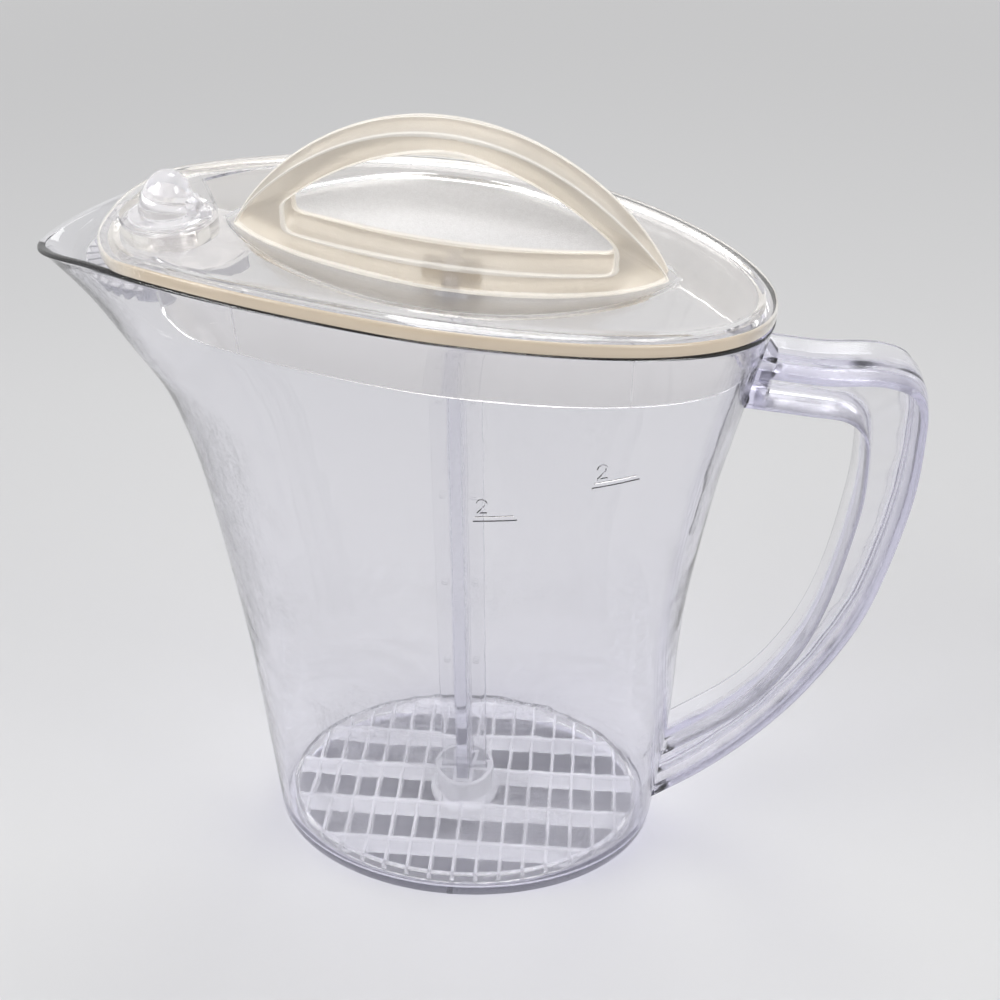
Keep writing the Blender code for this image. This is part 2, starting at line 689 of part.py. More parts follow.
def build_pour_knob():
    """Leaning bell on a flange, with a fin and a pointer, and a shaft with a square key below."""
    seat = dial_seat() + SEAT_GAP
    shaft_bottom = boss_bottom() - SEAT_GAP
    neck = seat + KNOB_FLANGE
    dome = neck + KNOB_GROOVE
    profile = [
        (DIAL_SHAFT_RADIUS, shaft_bottom),
        (DIAL_SHAFT_RADIUS, seat),
        (KNOB_FLANGE_RADIUS, seat),
        (KNOB_FLANGE_RADIUS, neck),
        (KNOB_GROOVE_RADIUS, neck),
        (KNOB_GROOVE_RADIUS, dome),
    ]
    for turn in np.linspace(0, pi / 2, KNOB_DOME_TURN_STEPS, endpoint=False):
        up = sin(turn)
        profile.append((KNOB_DOME_RADIUS * cos(turn), dome + KNOB_DOME * up, KNOB_DOME_LEAN * up))
    knob = on_dial(turned("pour_knob", profile, CLEAR))
    t, foot, reach = KNOB_FIN_HALF_THICKNESS, neck - SINK, KNOB_FIN_REACH
    plan = [(0, -t), (reach, -t), (reach, t), (0, t)]
    crest = dome + KNOB_DOME * KNOB_FIN_TOP_SHARE
    tops = (crest, neck + KNOB_FIN_FOOT_HEIGHT, neck + KNOB_FIN_FOOT_HEIGHT, crest)
    fin = [(x, y, foot) for x, y in plan] + [(x, y, z) for (x, y), z in zip(plan, tops)]
    combine(knob, on_dial(boxes("fin_shape", [fin])), "UNION")
    key = prism("key_shape", square(KEY_HALF), disc_top() - STRAINER_DISC / 2, shaft_bottom + SINK)
    combine(knob, on_dial(key), "UNION")
    pointer = [(KNOB_POINTER_RADIUS, seat), (KNOB_POINTER_RADIUS, seat + KNOB_POINTER_HEIGHT)]
    combine(knob, on_dial(turned("pointer_shape", pointer), KNOB_FLANGE_RADIUS), "UNION")
    return knob


def square(half):
    return [(half * i, half * j) for i, j in ((-1, -1), (1, -1), (1, 1), (-1, 1))]


def teeth_solid():
    """Radial teeth with cut-off lower tips, hung under the strainer's disc."""
    high, radius = disc_top() - STRAINER_DISC + SINK, strainer_radius()
    inner = radius - TOOTH_LENGTH
    teeth = []
    for k in range(TOOTH_COUNT):
        turn = TOOTH_FIRST_ANGLE + k * TOOTH_STEP_ANGLE
        out = np.array([cos(turn), sin(turn)])
        side = np.array([-out[1], out[0]]) * TOOTH_THICKNESS / 2

        def face(outer, z):
            plan = (out * inner - side, out * outer - side, out * outer + side, out * inner + side)
            return [(*p, z) for p in plan]

        teeth.append(face(radius - TOOTH_CHAMFER, strainer_bottom() - TOOTH_DROP) + face(radius, high))
    return boxes("teeth_shape", teeth)


def shutter_solid():
    """The unbroken stretch of the strainer's wall, which shuts the spout."""
    high, radius = disc_top() - STRAINER_DISC + SINK, strainer_radius()
    stations = []
    for turn in np.linspace(STRAINER_WALL_FIRST_ANGLE, STRAINER_WALL_LAST_ANGLE, STRAINER_WALL_STATIONS):
        out = np.array([cos(turn), sin(turn), 0])
        corners = (
            (radius - STRAINER_WALL, strainer_bottom()),
            (radius, strainer_bottom()),
            (radius, high),
            (radius - STRAINER_WALL, high),
        )
        stations.append([out * r + np.array([0, 0, z]) for r, z in corners])
    return solid("shutter_shape", *sweep(stations))


def build_strainer():
    disc_bottom, radius = disc_top() - STRAINER_DISC, strainer_radius()
    profile = [
        (radius, disc_bottom),
        (radius, disc_top()),
        (STRAINER_HUB_RADIUS, disc_top()),
        (STRAINER_HUB_RADIUS, boss_bottom() - STRAINER_DROP),
    ]
    strainer = on_dial(turned("strainer", profile, CLEAR))
    combine(strainer, on_dial(teeth_solid()), "UNION")
    combine(strainer, on_dial(shutter_solid()), "UNION")
    keyway = square(KEY_HALF + JOINT_GAP)
    socket = prism("keyway_cutter", keyway, disc_bottom - OVERRUN, boss_bottom() + OVERRUN)
    combine(strainer, on_dial(socket), "DIFFERENCE")
    return strainer


def main():
    clear_scene()
    build_pitcher()
    build_lid()
    build_plunger_handle()
    build_plunger_rod()
    build_mixing_plate()
    build_pour_knob()
    build_strainer()


main()
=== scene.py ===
# %% [markdown]
# # A covered pitcher that stirs and strains
# The object is a clear moulded pitcher with a flat, boat-shaped lid. A rod slides through the lid
# with a lattice plate at its foot, and a small dial at the spout turns a comb that strains or shuts
# it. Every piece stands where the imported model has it, so the first step is to load that model.

# %% Frame
from math import cos, pi, radians, sin

import bmesh
import bpy
import numpy as np
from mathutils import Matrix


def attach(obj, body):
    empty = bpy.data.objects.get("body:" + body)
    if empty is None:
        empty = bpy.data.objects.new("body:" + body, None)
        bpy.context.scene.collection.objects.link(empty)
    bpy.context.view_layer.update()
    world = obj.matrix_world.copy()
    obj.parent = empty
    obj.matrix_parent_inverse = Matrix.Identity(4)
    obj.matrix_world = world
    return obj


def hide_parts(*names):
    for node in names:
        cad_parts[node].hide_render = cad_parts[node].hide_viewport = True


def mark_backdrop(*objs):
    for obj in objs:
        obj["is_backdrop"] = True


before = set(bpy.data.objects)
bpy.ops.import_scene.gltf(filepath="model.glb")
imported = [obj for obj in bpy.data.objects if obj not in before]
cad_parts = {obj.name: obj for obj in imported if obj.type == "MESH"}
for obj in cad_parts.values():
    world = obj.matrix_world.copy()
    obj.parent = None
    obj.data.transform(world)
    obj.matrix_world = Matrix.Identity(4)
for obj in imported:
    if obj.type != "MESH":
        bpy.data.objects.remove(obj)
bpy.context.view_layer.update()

# %% [markdown]
# ## Camera
# The picture was taken from above and a little to the right, about 0.4 m away. A pinhole camera
# needs a place, three turns and a focal length. They came from matching edges of known height.

# %% Camera
EYE = (0.0418, -0.3388, 0.39615)
LOOKS_DOWN, LOOKS_LEFT = 0.637, 0.083
LENS_MM, FILM_MM, NEAREST = 46.816, 36, 0.01


def make_camera():
    """A camera at the eye, turned down from the horizon and to the left by angles in radians."""
    made = bpy.data.objects.new("camera", bpy.data.cameras.new("camera"))
    made.data.lens, made.data.sensor_width, made.data.clip_start = LENS_MM, FILM_MM, NEAREST
    made.location = EYE
    made.rotation_euler = (pi / 2 - LOOKS_DOWN, 0, LOOKS_LEFT)
    bpy.context.scene.collection.objects.link(made)
    bpy.context.scene.camera = made
    return made


camera = make_camera()
print("camera", tuple(camera.location), camera.data.lens)

# %% [markdown]
# ## From a grid of points to a mesh
# Every piece here is a surface with two parameters: one goes round it, the other along it. Such a
# surface is a grid of points. Neighbours in the grid are joined by quads, and a row that shrinks to
# a point or a line closes its end once equal points are merged. Small solids are then added to a
# large one or cut from it, with Blender's exact boolean. A few helpers do this for all pieces.


# %% Grid to mesh
SAME_POINT = 2e-6


def surface(name, grid, around=True, along=False):
    """A mesh from points (rows, points, 3): quad (i, j) joins rows i, i+1 and points j, j+1."""
    rows, points = grid.shape[:2]
    index = np.arange(rows * points).reshape(rows, points)
    if along:
        index = np.vstack([index, index[:1]])
    if around:
        index = np.hstack([index, index[:, :1]])
    quads = np.stack([index[:-1, :-1], index[:-1, 1:], index[1:, 1:], index[1:, :-1]], axis=-1)
    mesh = bpy.data.meshes.new(name)
    mesh.from_pydata(grid.reshape(-1, 3).tolist(), [], quads.reshape(-1, 4).tolist())
    work = bmesh.new()
    work.from_mesh(mesh)
    bmesh.ops.remove_doubles(work, verts=work.verts, dist=SAME_POINT)
    bmesh.ops.holes_fill(work, edges=work.edges, sides=0)
    bmesh.ops.recalc_face_normals(work, faces=work.faces)
    work.to_mesh(mesh)
    work.free()
    made = bpy.data.objects.new(name, mesh)
    bpy.context.scene.collection.objects.link(made)
    return made


def solid(name, rows):
    """A surface with closed ends: before the first row and after the last comes one that has shrunk
    to its middle."""
    grid = np.array(rows)
    first, last = (np.broadcast_to(grid[k].mean(0), grid[k].shape) for k in (0, -1))
    return surface(name, np.concatenate([first[None], grid, last[None]]))


def joined(target, *tools, operation="UNION"):
    """The target with each tool added to it, or cut from it. The tools are used up."""
    for tool in tools:
        step = target.modifiers.new("step", "BOOLEAN")
        step.operation, step.solver, step.object = operation, "EXACT", tool
        graph = bpy.context.evaluated_depsgraph_get()
        mesh = bpy.data.meshes.new_from_object(target.evaluated_get(graph))
        target.modifiers.clear()
        target.data = mesh
        mesh.name = target.name
        bpy.data.objects.remove(tool, do_unlink=True)
    return target


def cut(target, *tools):
    """The target with each tool taken out of it."""
    return joined(target, *tools, operation="DIFFERENCE")


def done(piece, body, node, looks, sharp=34):
    """Shades a piece smooth, except over edges sharper than an angle in degrees, gives it its
    materials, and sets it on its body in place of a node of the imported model."""
    piece.data.materials.clear()
    for look in looks:
        piece.data.materials.append(look)
    piece.data.shade_smooth()
    piece.data.set_sharp_from_angle(angle=radians(sharp))
    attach(piece, body)
    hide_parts(node)
    print(f"{piece.name}: {len(piece.data.polygons)} faces, {len(looks)} looks, rides on {body}")


print("points closer than", SAME_POINT, "m become one")

# %% [markdown]
# ## Rounded corners
# Moulded plastic has no knife edges. A cross-section drawn with straight lines gets its corners
# rounded before it is swept: each becomes a short curve that starts and ends on its two sides.


# %% Rounded outlines
def rounded(outline, radius, steps=4):
    """Each corner p of a closed outline becomes the curve (1-t)^2 a + 2t(1-t) p + t^2 b, where a
    and b lie on the two sides at the radius from p, or at 0.45 of the side where that is
    shorter."""
    outline = np.asarray(outline, float)
    ends = []
    for other in (np.roll(outline, 1, axis=-2), np.roll(outline, -1, axis=-2)):
        side = np.linalg.norm(other - outline, axis=-1, keepdims=True)
        ends.append(outline + (other - outline) / side * np.minimum(radius, 0.45 * side))
    t = np.linspace(0, 1, steps)[:, None]
    a, b = (end[..., None, :] for end in ends)
    curve = (1 - t) ** 2 * a + 2 * t * (1 - t) * outline[..., None, :] + t**2 * b
    return curve.reshape(*outline.shape[:-2], -1, outline.shape[-1])


def smooth(rows, steps):
    """A Catmull-Rom curve through the rows, with a number of stations from each row to the next."""
    rows = np.asarray(rows, float)
    padded = np.vstack([2 * rows[0] - rows[1], rows, 2 * rows[-1] - rows[-2]])
    t = (np.arange(steps) / steps)[:, None]
    spans = [
        b + t * (c - a) / 2 + t**2 * (2 * a - 5 * b + 4 * c - d) / 2
        + t**3 * (3 * b - a - 3 * c + d) / 2
        for a, b, c, d in zip(padded, padded[1:], padded[2:], padded[3:])
    ]  # fmt: skip
    return np.vstack([*spans, rows[-1:]])


def both_sides(half, radius, steps):
    """Depths and half widths at each station, mirrored to the other side, with rounded corners."""
    whole = half + [(d, -y) for d, y in reversed(half)]
    profile = np.array([np.column_stack([d, y]) for d, y in whole]).transpose(1, 0, 2)
    return np.moveaxis(rounded(profile, radius, steps), -1, 0)


def level(outline, height):
    """A plan outline lifted to a height, which may change from point to point."""
    return np.column_stack([outline, np.broadcast_to(height, len(outline))])


def upright(outline, y):
    """An outline drawn in x and z, set at one y."""
    return np.insert(outline, 1, y, axis=1)


print("a rounded square has", len(rounded([(0, 0), (1, 0), (1, 1), (0, 1)], 0.1)), "points")

# %% [markdown]
# ## Plan curves and the rim sheet
# Seen from above the pitcher is an ellipse towards the grip and a pointed superellipse towards the
# spout. Its rim doesn't lie in a plane but in a tilted, slightly crowned sheet, and the lid follows
# the same sheet. Both are plain formulas, so the lid fits the pitcher without any measuring.

# %% Plan curves
AROUND = 192
TURNS = np.arange(AROUND) * 2 * pi / AROUND
RIM_HEIGHT, RIM_TILT, RIM_CURVE_RADIUS = 0.2376, -0.1085, 0.714
BASE_LENGTH, BASE_WIDTH = 0.0715, 0.0486
SPOUT_REACH, GRIP_SIDE_REACH, RIM_WIDTH = 0.122, 0.0935, 0.056
WALL, FLOOR, BASE_CORNER, RIM_ROUND = 0.0026, 0.0034, 0.004, 0.0009
LID_EDGE, SEAT_GAP, POINTED = 0.0038, 0.0003, 0.38
TIP_STARTS, TIP_DIP = 0.095, 0.0055


def rim_sheet(x):
    """Height of the lid's top edge: a height, plus a tilt times x, less x^2 over twice a radius."""
    return RIM_HEIGHT + RIM_TILT * x - x**2 / (2 * RIM_CURVE_RADIUS)


def pitcher_rim(x):
    """Under the lid's edge, and dipping towards the spout's tip by the power 1.5 of the way
    there."""
    along = np.clip((-x - TIP_STARTS) / (SPOUT_REACH - TIP_STARTS), 0, 1)
    return rim_sheet(x) - LID_EDGE - SEAT_GAP - TIP_DIP * along**1.5


def oval(spout_side, grip_side, half_width, power=2.0, turns=TURNS):
    """x is a reach times cos to the power 2/p, and y the half width times sin to the power 2/p,
    where p is 2 on the grip's side, which makes that side an ellipse."""
    c, s = np.cos(turns), np.sin(turns)
    exponent = np.where(c < 0, 2 / power, 1.0)
    reach = np.where(c < 0, spout_side, grip_side)
    x = np.sign(c) * reach * np.abs(c) ** exponent
    return np.column_stack([x, np.sign(s) * half_width * np.abs(s) ** exponent])


def cut_short(ring, reach, half_width, power):
    """The spout side of a plan curve, kept inside a superellipse of that reach and half width."""
    out = np.linalg.norm(ring, axis=1)
    c, s = np.abs(ring.T) / out
    blunt = ((c / reach) ** power + (s / half_width) ** power) ** (-1 / power)
    return ring * np.where(ring[:, 0] < 0, np.minimum(1, blunt / out), 1)[:, None]


stations = (-SPOUT_REACH, 0, GRIP_SIDE_REACH)
print("rim heights at spout, middle and grip", [round(float(rim_sheet(x)), 4) for x in stations])

# %% [markdown]
# ## Pitcher body
# The wall flares from a small oval foot to the wide pointed mouth, slowly at first and fast near
# the top. A few listed stations say how far it has flared at each height, and a smooth curve
# through them gives every row in between. The outside and the cavity come from the same function
# with a different inset, so the wall is equally thick all round. Both edges of the rim are rounded.

# %% Body surface
# height, spout side, grip side, half width, pointedness: shares of the way up or out
FLARE = np.array([
    (0, 0, 0, 0, 0), (0.08, 0.012, 0.06, 0.05, 0), (0.18, 0.028, 0.14, 0.16, 0),
    (0.28, 0.045, 0.19, 0.27, 0), (0.4, 0.073, 0.2, 0.38, 0), (0.5, 0.112, 0.24, 0.48, 0),
    (0.6, 0.16, 0.34, 0.58, 0.03), (0.68, 0.208, 0.44, 0.65, 0.1), (0.75, 0.28, 0.54, 0.72, 0.25),
    (0.81, 0.385, 0.65, 0.79, 0.45), (0.87, 0.575, 0.76, 0.86, 0.65),
    (0.93, 0.755, 0.87, 0.93, 0.85), (1, 1, 1, 1, 1),
])  # fmt: skip


def flared(share):
    """The four shares at a height: cubics between stations, with slopes from their neighbours."""
    knots, values = FLARE[:, 0], FLARE[:, 1:]
    slopes = np.gradient(values, knots, axis=0)
    k = int(np.clip(np.searchsorted(knots, share, "right") - 1, 0, len(knots) - 2))
    span = knots[k + 1] - knots[k]
    t = (share - knots[k]) / span
    return (
        (2 * t**3 - 3 * t**2 + 1) * values[k] + (t**3 - 2 * t**2 + t) * span * slopes[k]
        + (3 * t**2 - 2 * t**3) * values[k + 1] + (t**3 - t**2) * span * slopes[k + 1]
    )  # fmt: skip


def sizes(spout, grip, width, point):
    """Both reaches, the half width and the power: each runs from the foot's value to the rim's."""
    return (
        BASE_LENGTH + (SPOUT_REACH - BASE_LENGTH) * spout,
        BASE_LENGTH + (GRIP_SIDE_REACH - BASE_LENGTH) * grip,
        BASE_WIDTH + (RIM_WIDTH - BASE_WIDTH) * width,
        2 - POINTED * point,
    )


def body_oval(share, inset, turns=TURNS):
    """The body's plan outline at a share of its height, drawn in by an inset."""
    spout, grip, width, power = sizes(*flared(share))
    return oval(spout - inset, grip - inset, width - inset, power, turns)


SHARES = np.linspace(0, 1, 101)
FLARED = np.array([flared(share) for share in SHARES])


def grip_side(x, z):
    """Reach and half width of the ellipse that the body's grip side is, at a place and height."""
    share = np.clip(z / pitcher_rim(x), 0, 1)
    return sizes(*(np.interp(share, SHARES, column) for column in FLARED.T))[1:3]


def body_rows(inset, floor, top):
    """Rings from the floor's middle up the wall to the rim, whose rows top gives as inset and
    drop."""
    rows = [level(np.zeros((AROUND, 2)), floor)]
    flat = np.array([BASE_LENGTH, BASE_LENGTH, BASE_WIDTH]) - inset - BASE_CORNER
    for out in (0.35, 0.7, 0.94):
        rows.append(level(oval(*flat * out), floor))
    for turn in np.linspace(0, pi / 2, 9):
        drawn = inset + BASE_CORNER * (1 - sin(turn))
        ring = oval(BASE_LENGTH - drawn, BASE_LENGTH - drawn, BASE_WIDTH - drawn)
        rows.append(level(ring, floor + BASE_CORNER * (1 - cos(turn))))
    for share in np.linspace(0.036, 0.992, 80):
        ring = body_oval(share, inset)
        rows.append(level(ring, share * pitcher_rim(ring[:, 0])))
    for extra, drop in top:
        ring = body_oval(1, inset + extra)
        rows.append(level(ring, pitcher_rim(ring[:, 0]) - drop))
    return rows


def body_shape():
    """The outside, closed over the mouth, and the cavity that is taken out of it. The closing fan
    rises 0.4 mm to its middle, so that it nowhere lies on the cavity's top ring, and the cavity
    reaches 6 mm above the rim."""
    quarter = np.linspace(0, pi / 2, 6)
    outer = body_rows(0, 0, [(RIM_ROUND * (1 - cos(t)), RIM_ROUND * (1 - sin(t))) for t in quarter])
    middle = level(np.zeros((AROUND, 2)), pitcher_rim(0.0) + 0.0004)
    flare = [(RIM_ROUND * (cos(t) - 1), RIM_ROUND * (1 - sin(t))) for t in quarter]
    inner = body_rows(WALL, FLOOR, flare + [(-RIM_ROUND, -0.006)])
    above = level(np.zeros((AROUND, 2)), pitcher_rim(0.0) + 0.006)
    outside = surface("pitcher_clear", np.array([*outer, middle]))
    return outside, surface("cavity", np.array([*inner, above]))


# %% [markdown]
# ## Grip
# The grip is moulded with the body: two flanges with a thin web between them, an I-beam that bends
# from the rim down to the foot. Its outer face carries a low band down the middle, and the web is
# not quite flat but has soft lumps where the plastic sank as it cooled. An I-shaped profile is
# carried along the two edge curves, and the ends run into the body, where the cavity trims them.

# %% Grip surface
GRIP_REACH, GRIP_HEIGHT, GRIP_WIDTH, GRIP_NARROWS = 0.141, 0.202, 0.012, 0.0022
NARROWS_FROM, NARROWS_OVER, FRAME_END = 0.19, 0.07, 0.0152
FLANGE, INNER_FLANGE, WEB, LUMPS, FILLET = 0.0028, 0.0015, 0.003, 0.0004, 0.0016
GRIP_BAND, BAND_HEIGHT = 0.0068, 0.0011
# outer x, outer z, inner x, inner z, as shares of the reach and the height
GRIP_EDGES = [
    (0.567, 1.018, 0.567, 0.950), (0.766, 1.002, 0.738, 0.937), (0.905, 1.001, 0.826, 0.929),
    (0.976, 0.974, 0.868, 0.901), (0.997, 0.895, 0.883, 0.845), (0.999, 0.760, 0.885, 0.745),
    (0.962, 0.571, 0.856, 0.570), (0.888, 0.427, 0.799, 0.436), (0.781, 0.293, 0.701, 0.322),
    (0.634, 0.166, 0.553, 0.225), (0.440, 0.045, 0.383, 0.129),
]  # fmt: skip


def grip_shape():
    """Profile points (depth from the inner edge, y) carried along the line from inner to outer
    edge. The web's half thickness is 1.5 mm, plus lumps of up to 0.4 mm that are a product of two
    sines, plus a fillet that grows with the sixth power of the distance from the web's middle. The
    half width is 12 mm, less up to 2.2 mm times 3t^2 - 2t^3, where t runs from 0 at a height of 190
    mm to 1 at 120 mm. Beside the body the web grows until it is nearly as thick as the flanges are
    wide."""
    edges = smooth(GRIP_EDGES, 9)
    outer, inner = (upright(edges[:, k:k + 2] * [GRIP_REACH, GRIP_HEIGHT], 0) for k in (0, 2))
    depth = np.linalg.norm(outer - inner, axis=1)
    out = (outer - inner) / depth[:, None]
    run = np.concatenate([[0], np.cumsum(np.linalg.norm(np.diff(outer, axis=0), axis=1))])
    lump = LUMPS * np.sin(run * 300) * np.sin(run * 113 + 1.2)
    zero, full = np.zeros_like(depth), np.ones_like(depth)
    t = np.clip((NARROWS_FROM - outer[:, 2]) / NARROWS_OVER, 0, 1)
    wide = GRIP_WIDTH - GRIP_NARROWS * t * t * (3 - 2 * t)
    frame_end = np.clip((FRAME_END - run) / 0.002, 0, 1)
    web = []
    for f in (0, 0.07, 0.16, 0.28, 0.5, 0.72, 0.84, 0.93, 1):
        thin = WEB / 2 + FILLET * abs(2 * f - 1) ** 6 + lump * sin(pi * f) ** 0.5
        deep = INNER_FLANGE + (depth - INNER_FLANGE - FLANGE) * f
        web.append((deep, thin + (wide - 0.0004 - thin) * frame_end))
    half = [(zero, wide), (INNER_FLANGE * full, wide), *web, (depth - FLANGE, wide), (depth, wide)]
    half += [(depth, GRIP_BAND * full), (depth + BAND_HEIGHT, (GRIP_BAND - BAND_HEIGHT) * full)]
    d, y = both_sides(half, 0.0006, 3)[..., None]
    return solid("grip", inner[:, None] + out[:, None] * d + y * np.array([0, 1, 0]))


body, cavity = body_shape()
cut(joined(body, grip_shape()), cavity)
print("body and grip in one:", len(body.data.polygons), "faces")

# %% [markdown]
# ## Capacity marks
# Two fill lines, with a hairline and a plain 2 above each, stand out of the wall by a third of a
# millimetre, where the mould was engraved. Each stroke is a flat bar that follows the curved wall,
# with sloping sides, and all of them are added to the body, so that light runs through them as
# through the wall itself.

# %% Capacity marks
RELIEF, STROKE, HAIRLINE = 0.00035, 0.00075, 0.0004
NUMERAL = (0.0027, 0.0047)


def stroke(path, width=STROKE):
    """Places (x, z) on the near side of the wall become a bar whose section is wider at the wall.
    The wall is at minus the half width times the root of 1 - (x / reach)^2."""
    x, z = np.asarray(path, float).T
    reach, half = grip_side(x, z)
    y = -half * np.sqrt(1 - (x / reach) ** 2)
    out = np.column_stack([x / reach**2, y / half**2, 0 * x])
    out /= np.linalg.norm(out, axis=1)[:, None]
    middle, along = np.column_stack([x, y, z]), np.gradient(np.column_stack([x, y, z]), axis=0)
    side = np.cross(along, out)
    side /= np.linalg.norm(side, axis=1)[:, None]
    section = [(-0.6, -0.9), (-0.5, 0.35), (-0.3, 1), (0.3, 1), (0.5, 0.35), (0.6, -0.9)]
    rows = [middle + side * width * across + out * RELIEF * lift for across, lift in section]
    return solid("stroke", np.array(rows).transpose(1, 0, 2))


def two(x, z):
    """The upper curve of a 2 with its slant, in the box of a numeral with that lower left
    corner."""
    curve = [
        (0.02, 0.74), (0.2, 0.95), (0.52, 1), (0.86, 0.86), (0.88, 0.6), (0.5, 0.3), (0.06, 0.02),
    ]  # fmt: skip
    return smooth(curve, 5) * NUMERAL + [x, z]


def level_line(start, end, z):
    """Eight places along a level line."""
    return np.linspace((start, z), (end, z), 8)


for x, z, length in ((0.0105, 0.1764, 0.0122), (0.0430, 0.1850, 0.0130)):
    left, foot = x + 0.0012 + 0.17 * (length - 0.0122), z + 0.0030
    base = level_line(left, left + NUMERAL[0], foot)
    lines = [two(left, foot), base, level_line(x, x + length, z)]
    hairline = stroke(level_line(x + 0.0006, x + length - 0.001, z + 0.0017), HAIRLINE)
    joined(body, *(stroke(line) for line in lines), hairline)
print("body with capacity marks:", len(body.data.polygons), "faces")

# %% [markdown]
# ## Rib inside the wall
# Low on the grip side a flat rib runs down the inside of the wall and ends square. It stiffens the
# place where the grip pulls. A bar that follows the wall's inner face is added to the body.

# %% Inner rib
def carried(name, section, x, y, z):
    """A plan section carried up or down a wall: one row for each x, y and z."""
    return solid(name, [level(section + [p, q], height) for p, q, height in np.broadcast(x, y, z)])


def inner_rib():
    """Rows down the wall at y = 0: a section 5 mm wide that stands 0.6 mm into the cavity."""
    z = np.linspace(0.200, 0.136, 14)
    wall = grip_side(np.full(14, 0.08), z)[0] - WALL
    section = [(0.001, -0.0025), (0.001, 0.0025), (-0.0006, 0.0021), (-0.0006, -0.0021)]
    return carried("rib", rounded(section, 0.0004, 3), wall, 0, z)


joined(body, inner_rib())
print("body with marks and rib:", len(body.data.polygons), "faces")

# %% [markdown]
# ## Lid
# The lid's outline is the pitcher's rim cut short by a blunt end, so that the spout stays open.
# From its edge inwards it has a rounded rim, a low bead, a flat panel and a boat-shaped dish that
# makes room for fingers under the plunger handle. All of these are rings of one grid: the top side
# from the dish's floor outwards, round the edge, and back below, one wall thickness lower.

# %% Lid surface
LID_REACH, LID_BLUNT, LID_WALL, LID_ROUND, PANEL_DROP = 0.0987, 2.5, 0.0024, 0.0007, 0.001
DISH, DISH_POWER, DISH_FLOOR, FLOOR_POWER = (0.065, 0.043), 0.8, (0.0632, 0.0104), 0.3
CHORD_HEIGHT, CHORD_TILT = 0.2335, -0.105
HANDLE_LENGTH, HANDLE_SAG, BAR_WIDTH = 0.062, 0.0099, 0.0086
# inset and lift of the rings from the bead down to the panel
BEAD = [
    (0.0034, 0.0002), (0.0040, 0.0005), (0.0046, 0.0005), (0.0054, 0.0002), (0.0064, -0.0002),
    (0.0076, -0.0006), (0.0090, -0.0009), (0.0102, -PANEL_DROP),
]  # fmt: skip


def handle_chord(x):
    """The straight line between the plunger handle's tips."""
    return CHORD_HEIGHT + CHORD_TILT * x


def handle_keel(x):
    """Below the chord by the sag times (1 - the squared share of the length)."""
    return handle_chord(x) - HANDLE_SAG * np.clip(1 - (x / HANDLE_LENGTH) ** 2, 0, 1)


def lid_oval(inset):
    """The rim's plan curve drawn in by the inset, with the spout side cut short."""
    width = RIM_WIDTH - inset
    ring = oval(SPOUT_REACH - inset, GRIP_SIDE_REACH - inset, width, 2 - POINTED)
    return cut_short(ring, LID_REACH - inset, width, LID_BLUNT)


def on_sheet(ring, lift):
    """A plan ring lifted to the rim sheet, plus a lift."""
    return level(ring, rim_sheet(ring[:, 0]) + lift)


def lens(half_length, half_width, power):
    """A pointed oval: the half width times one minus the squared cosine, to a power."""
    c, s = np.cos(TURNS), np.sin(TURNS)
    wide = half_width * np.sign(s) * np.clip(1 - c**2, 0, 1) ** power
    return np.column_stack([half_length * c, wide])


def lid_top(lower):
    """Rings from the bead to the dish's middle line, lowered by a thickness."""
    rows = [on_sheet(lid_oval(inset), lift - lower) for inset, lift in BEAD]
    brim, floor = lens(*DISH, DISH_POWER), lens(*DISH_FLOOR, FLOOR_POWER)
    brim_z = rim_sheet(brim[:, 0]) - PANEL_DROP
    floor_z = handle_keel(floor[:, 0]) - SEAT_GAP
    panel = lid_oval(BEAD[-1][0])
    for share in (0.25, 0.5, 0.75, 0.93):
        rows.append(on_sheet(panel + (brim - panel) * share, -PANEL_DROP - lower))
    for share in np.linspace(0, 1, 15):
        soft = max(0.0, 1 - share / 0.12) ** 2 * 0.012
        sunk = share + 0.12 * sin(pi * share) + soft
        height = brim_z + (floor_z - brim_z) * sunk
        rows.append(level(brim + (floor - brim) * share, height - lower))
    for share in (0.5, 0.0):
        rows.append(level(floor * [1, share], floor_z - lower))
    return rows


def lid_edge():
    """Rings round the lid's outer edge, rounded above and below by quarter circles, and under
    it."""
    turns = np.linspace(0, pi / 2, 5)
    rings = [(1 - sin(t), LID_ROUND * (cos(t) - 1)) for t in turns]
    rings += [(1 - cos(t), LID_ROUND * (1 - sin(t)) - LID_EDGE) for t in turns]
    edge = [on_sheet(lid_oval(LID_ROUND * inset), lift) for inset, lift in rings]
    return edge + [on_sheet(lid_oval(inset), -LID_EDGE) for inset in (0.0018, 0.0034)]


def lid_shell():
    """The top's rings from the middle outwards, the edge, and the underside's rings back
    inwards."""
    return surface("lid_clear", np.array(lid_top(0)[::-1] + lid_edge() + lid_top(LID_WALL)[3:]))


lid = lid_shell()
print("lid shell", len(lid.data.polygons), "faces")

# %% [markdown]
# ## Below the lid
# A skirt plugs into the pitcher's mouth and stops short of the spout, a cross-shaped sleeve guides
# the rod, and a round boss carries the dial. They are added to the shell, then the guide, the
# dial's well and its bore are cut. Turned pieces come from one profile carried round an axis.

# %% Skirt, sleeve and boss
DIAL_X, BOSS_RADIUS, WELL_RADIUS, BORE_RADIUS = -0.082, 0.0143, 0.0133, 0.007
SKIRT_DEPTH, SKIRT_WALL, SKIRT_REACH = 0.021, 0.002, 0.092
SKIRT_INSET, SPOUT_GAP, SEAMS = WALL + 0.0006, radians(38.5), (-0.0527, 0.052)
SLEEVE_FOOT, GUIDE_LOW, GUIDE_HIGH = 0.205, 0.2, 0.2426
SEAT_DROP, BOSS_DROP = 0.0021, 0.0081
ROD_CROSS = (0.0083, 0.001, 0.0022, 0.0069)


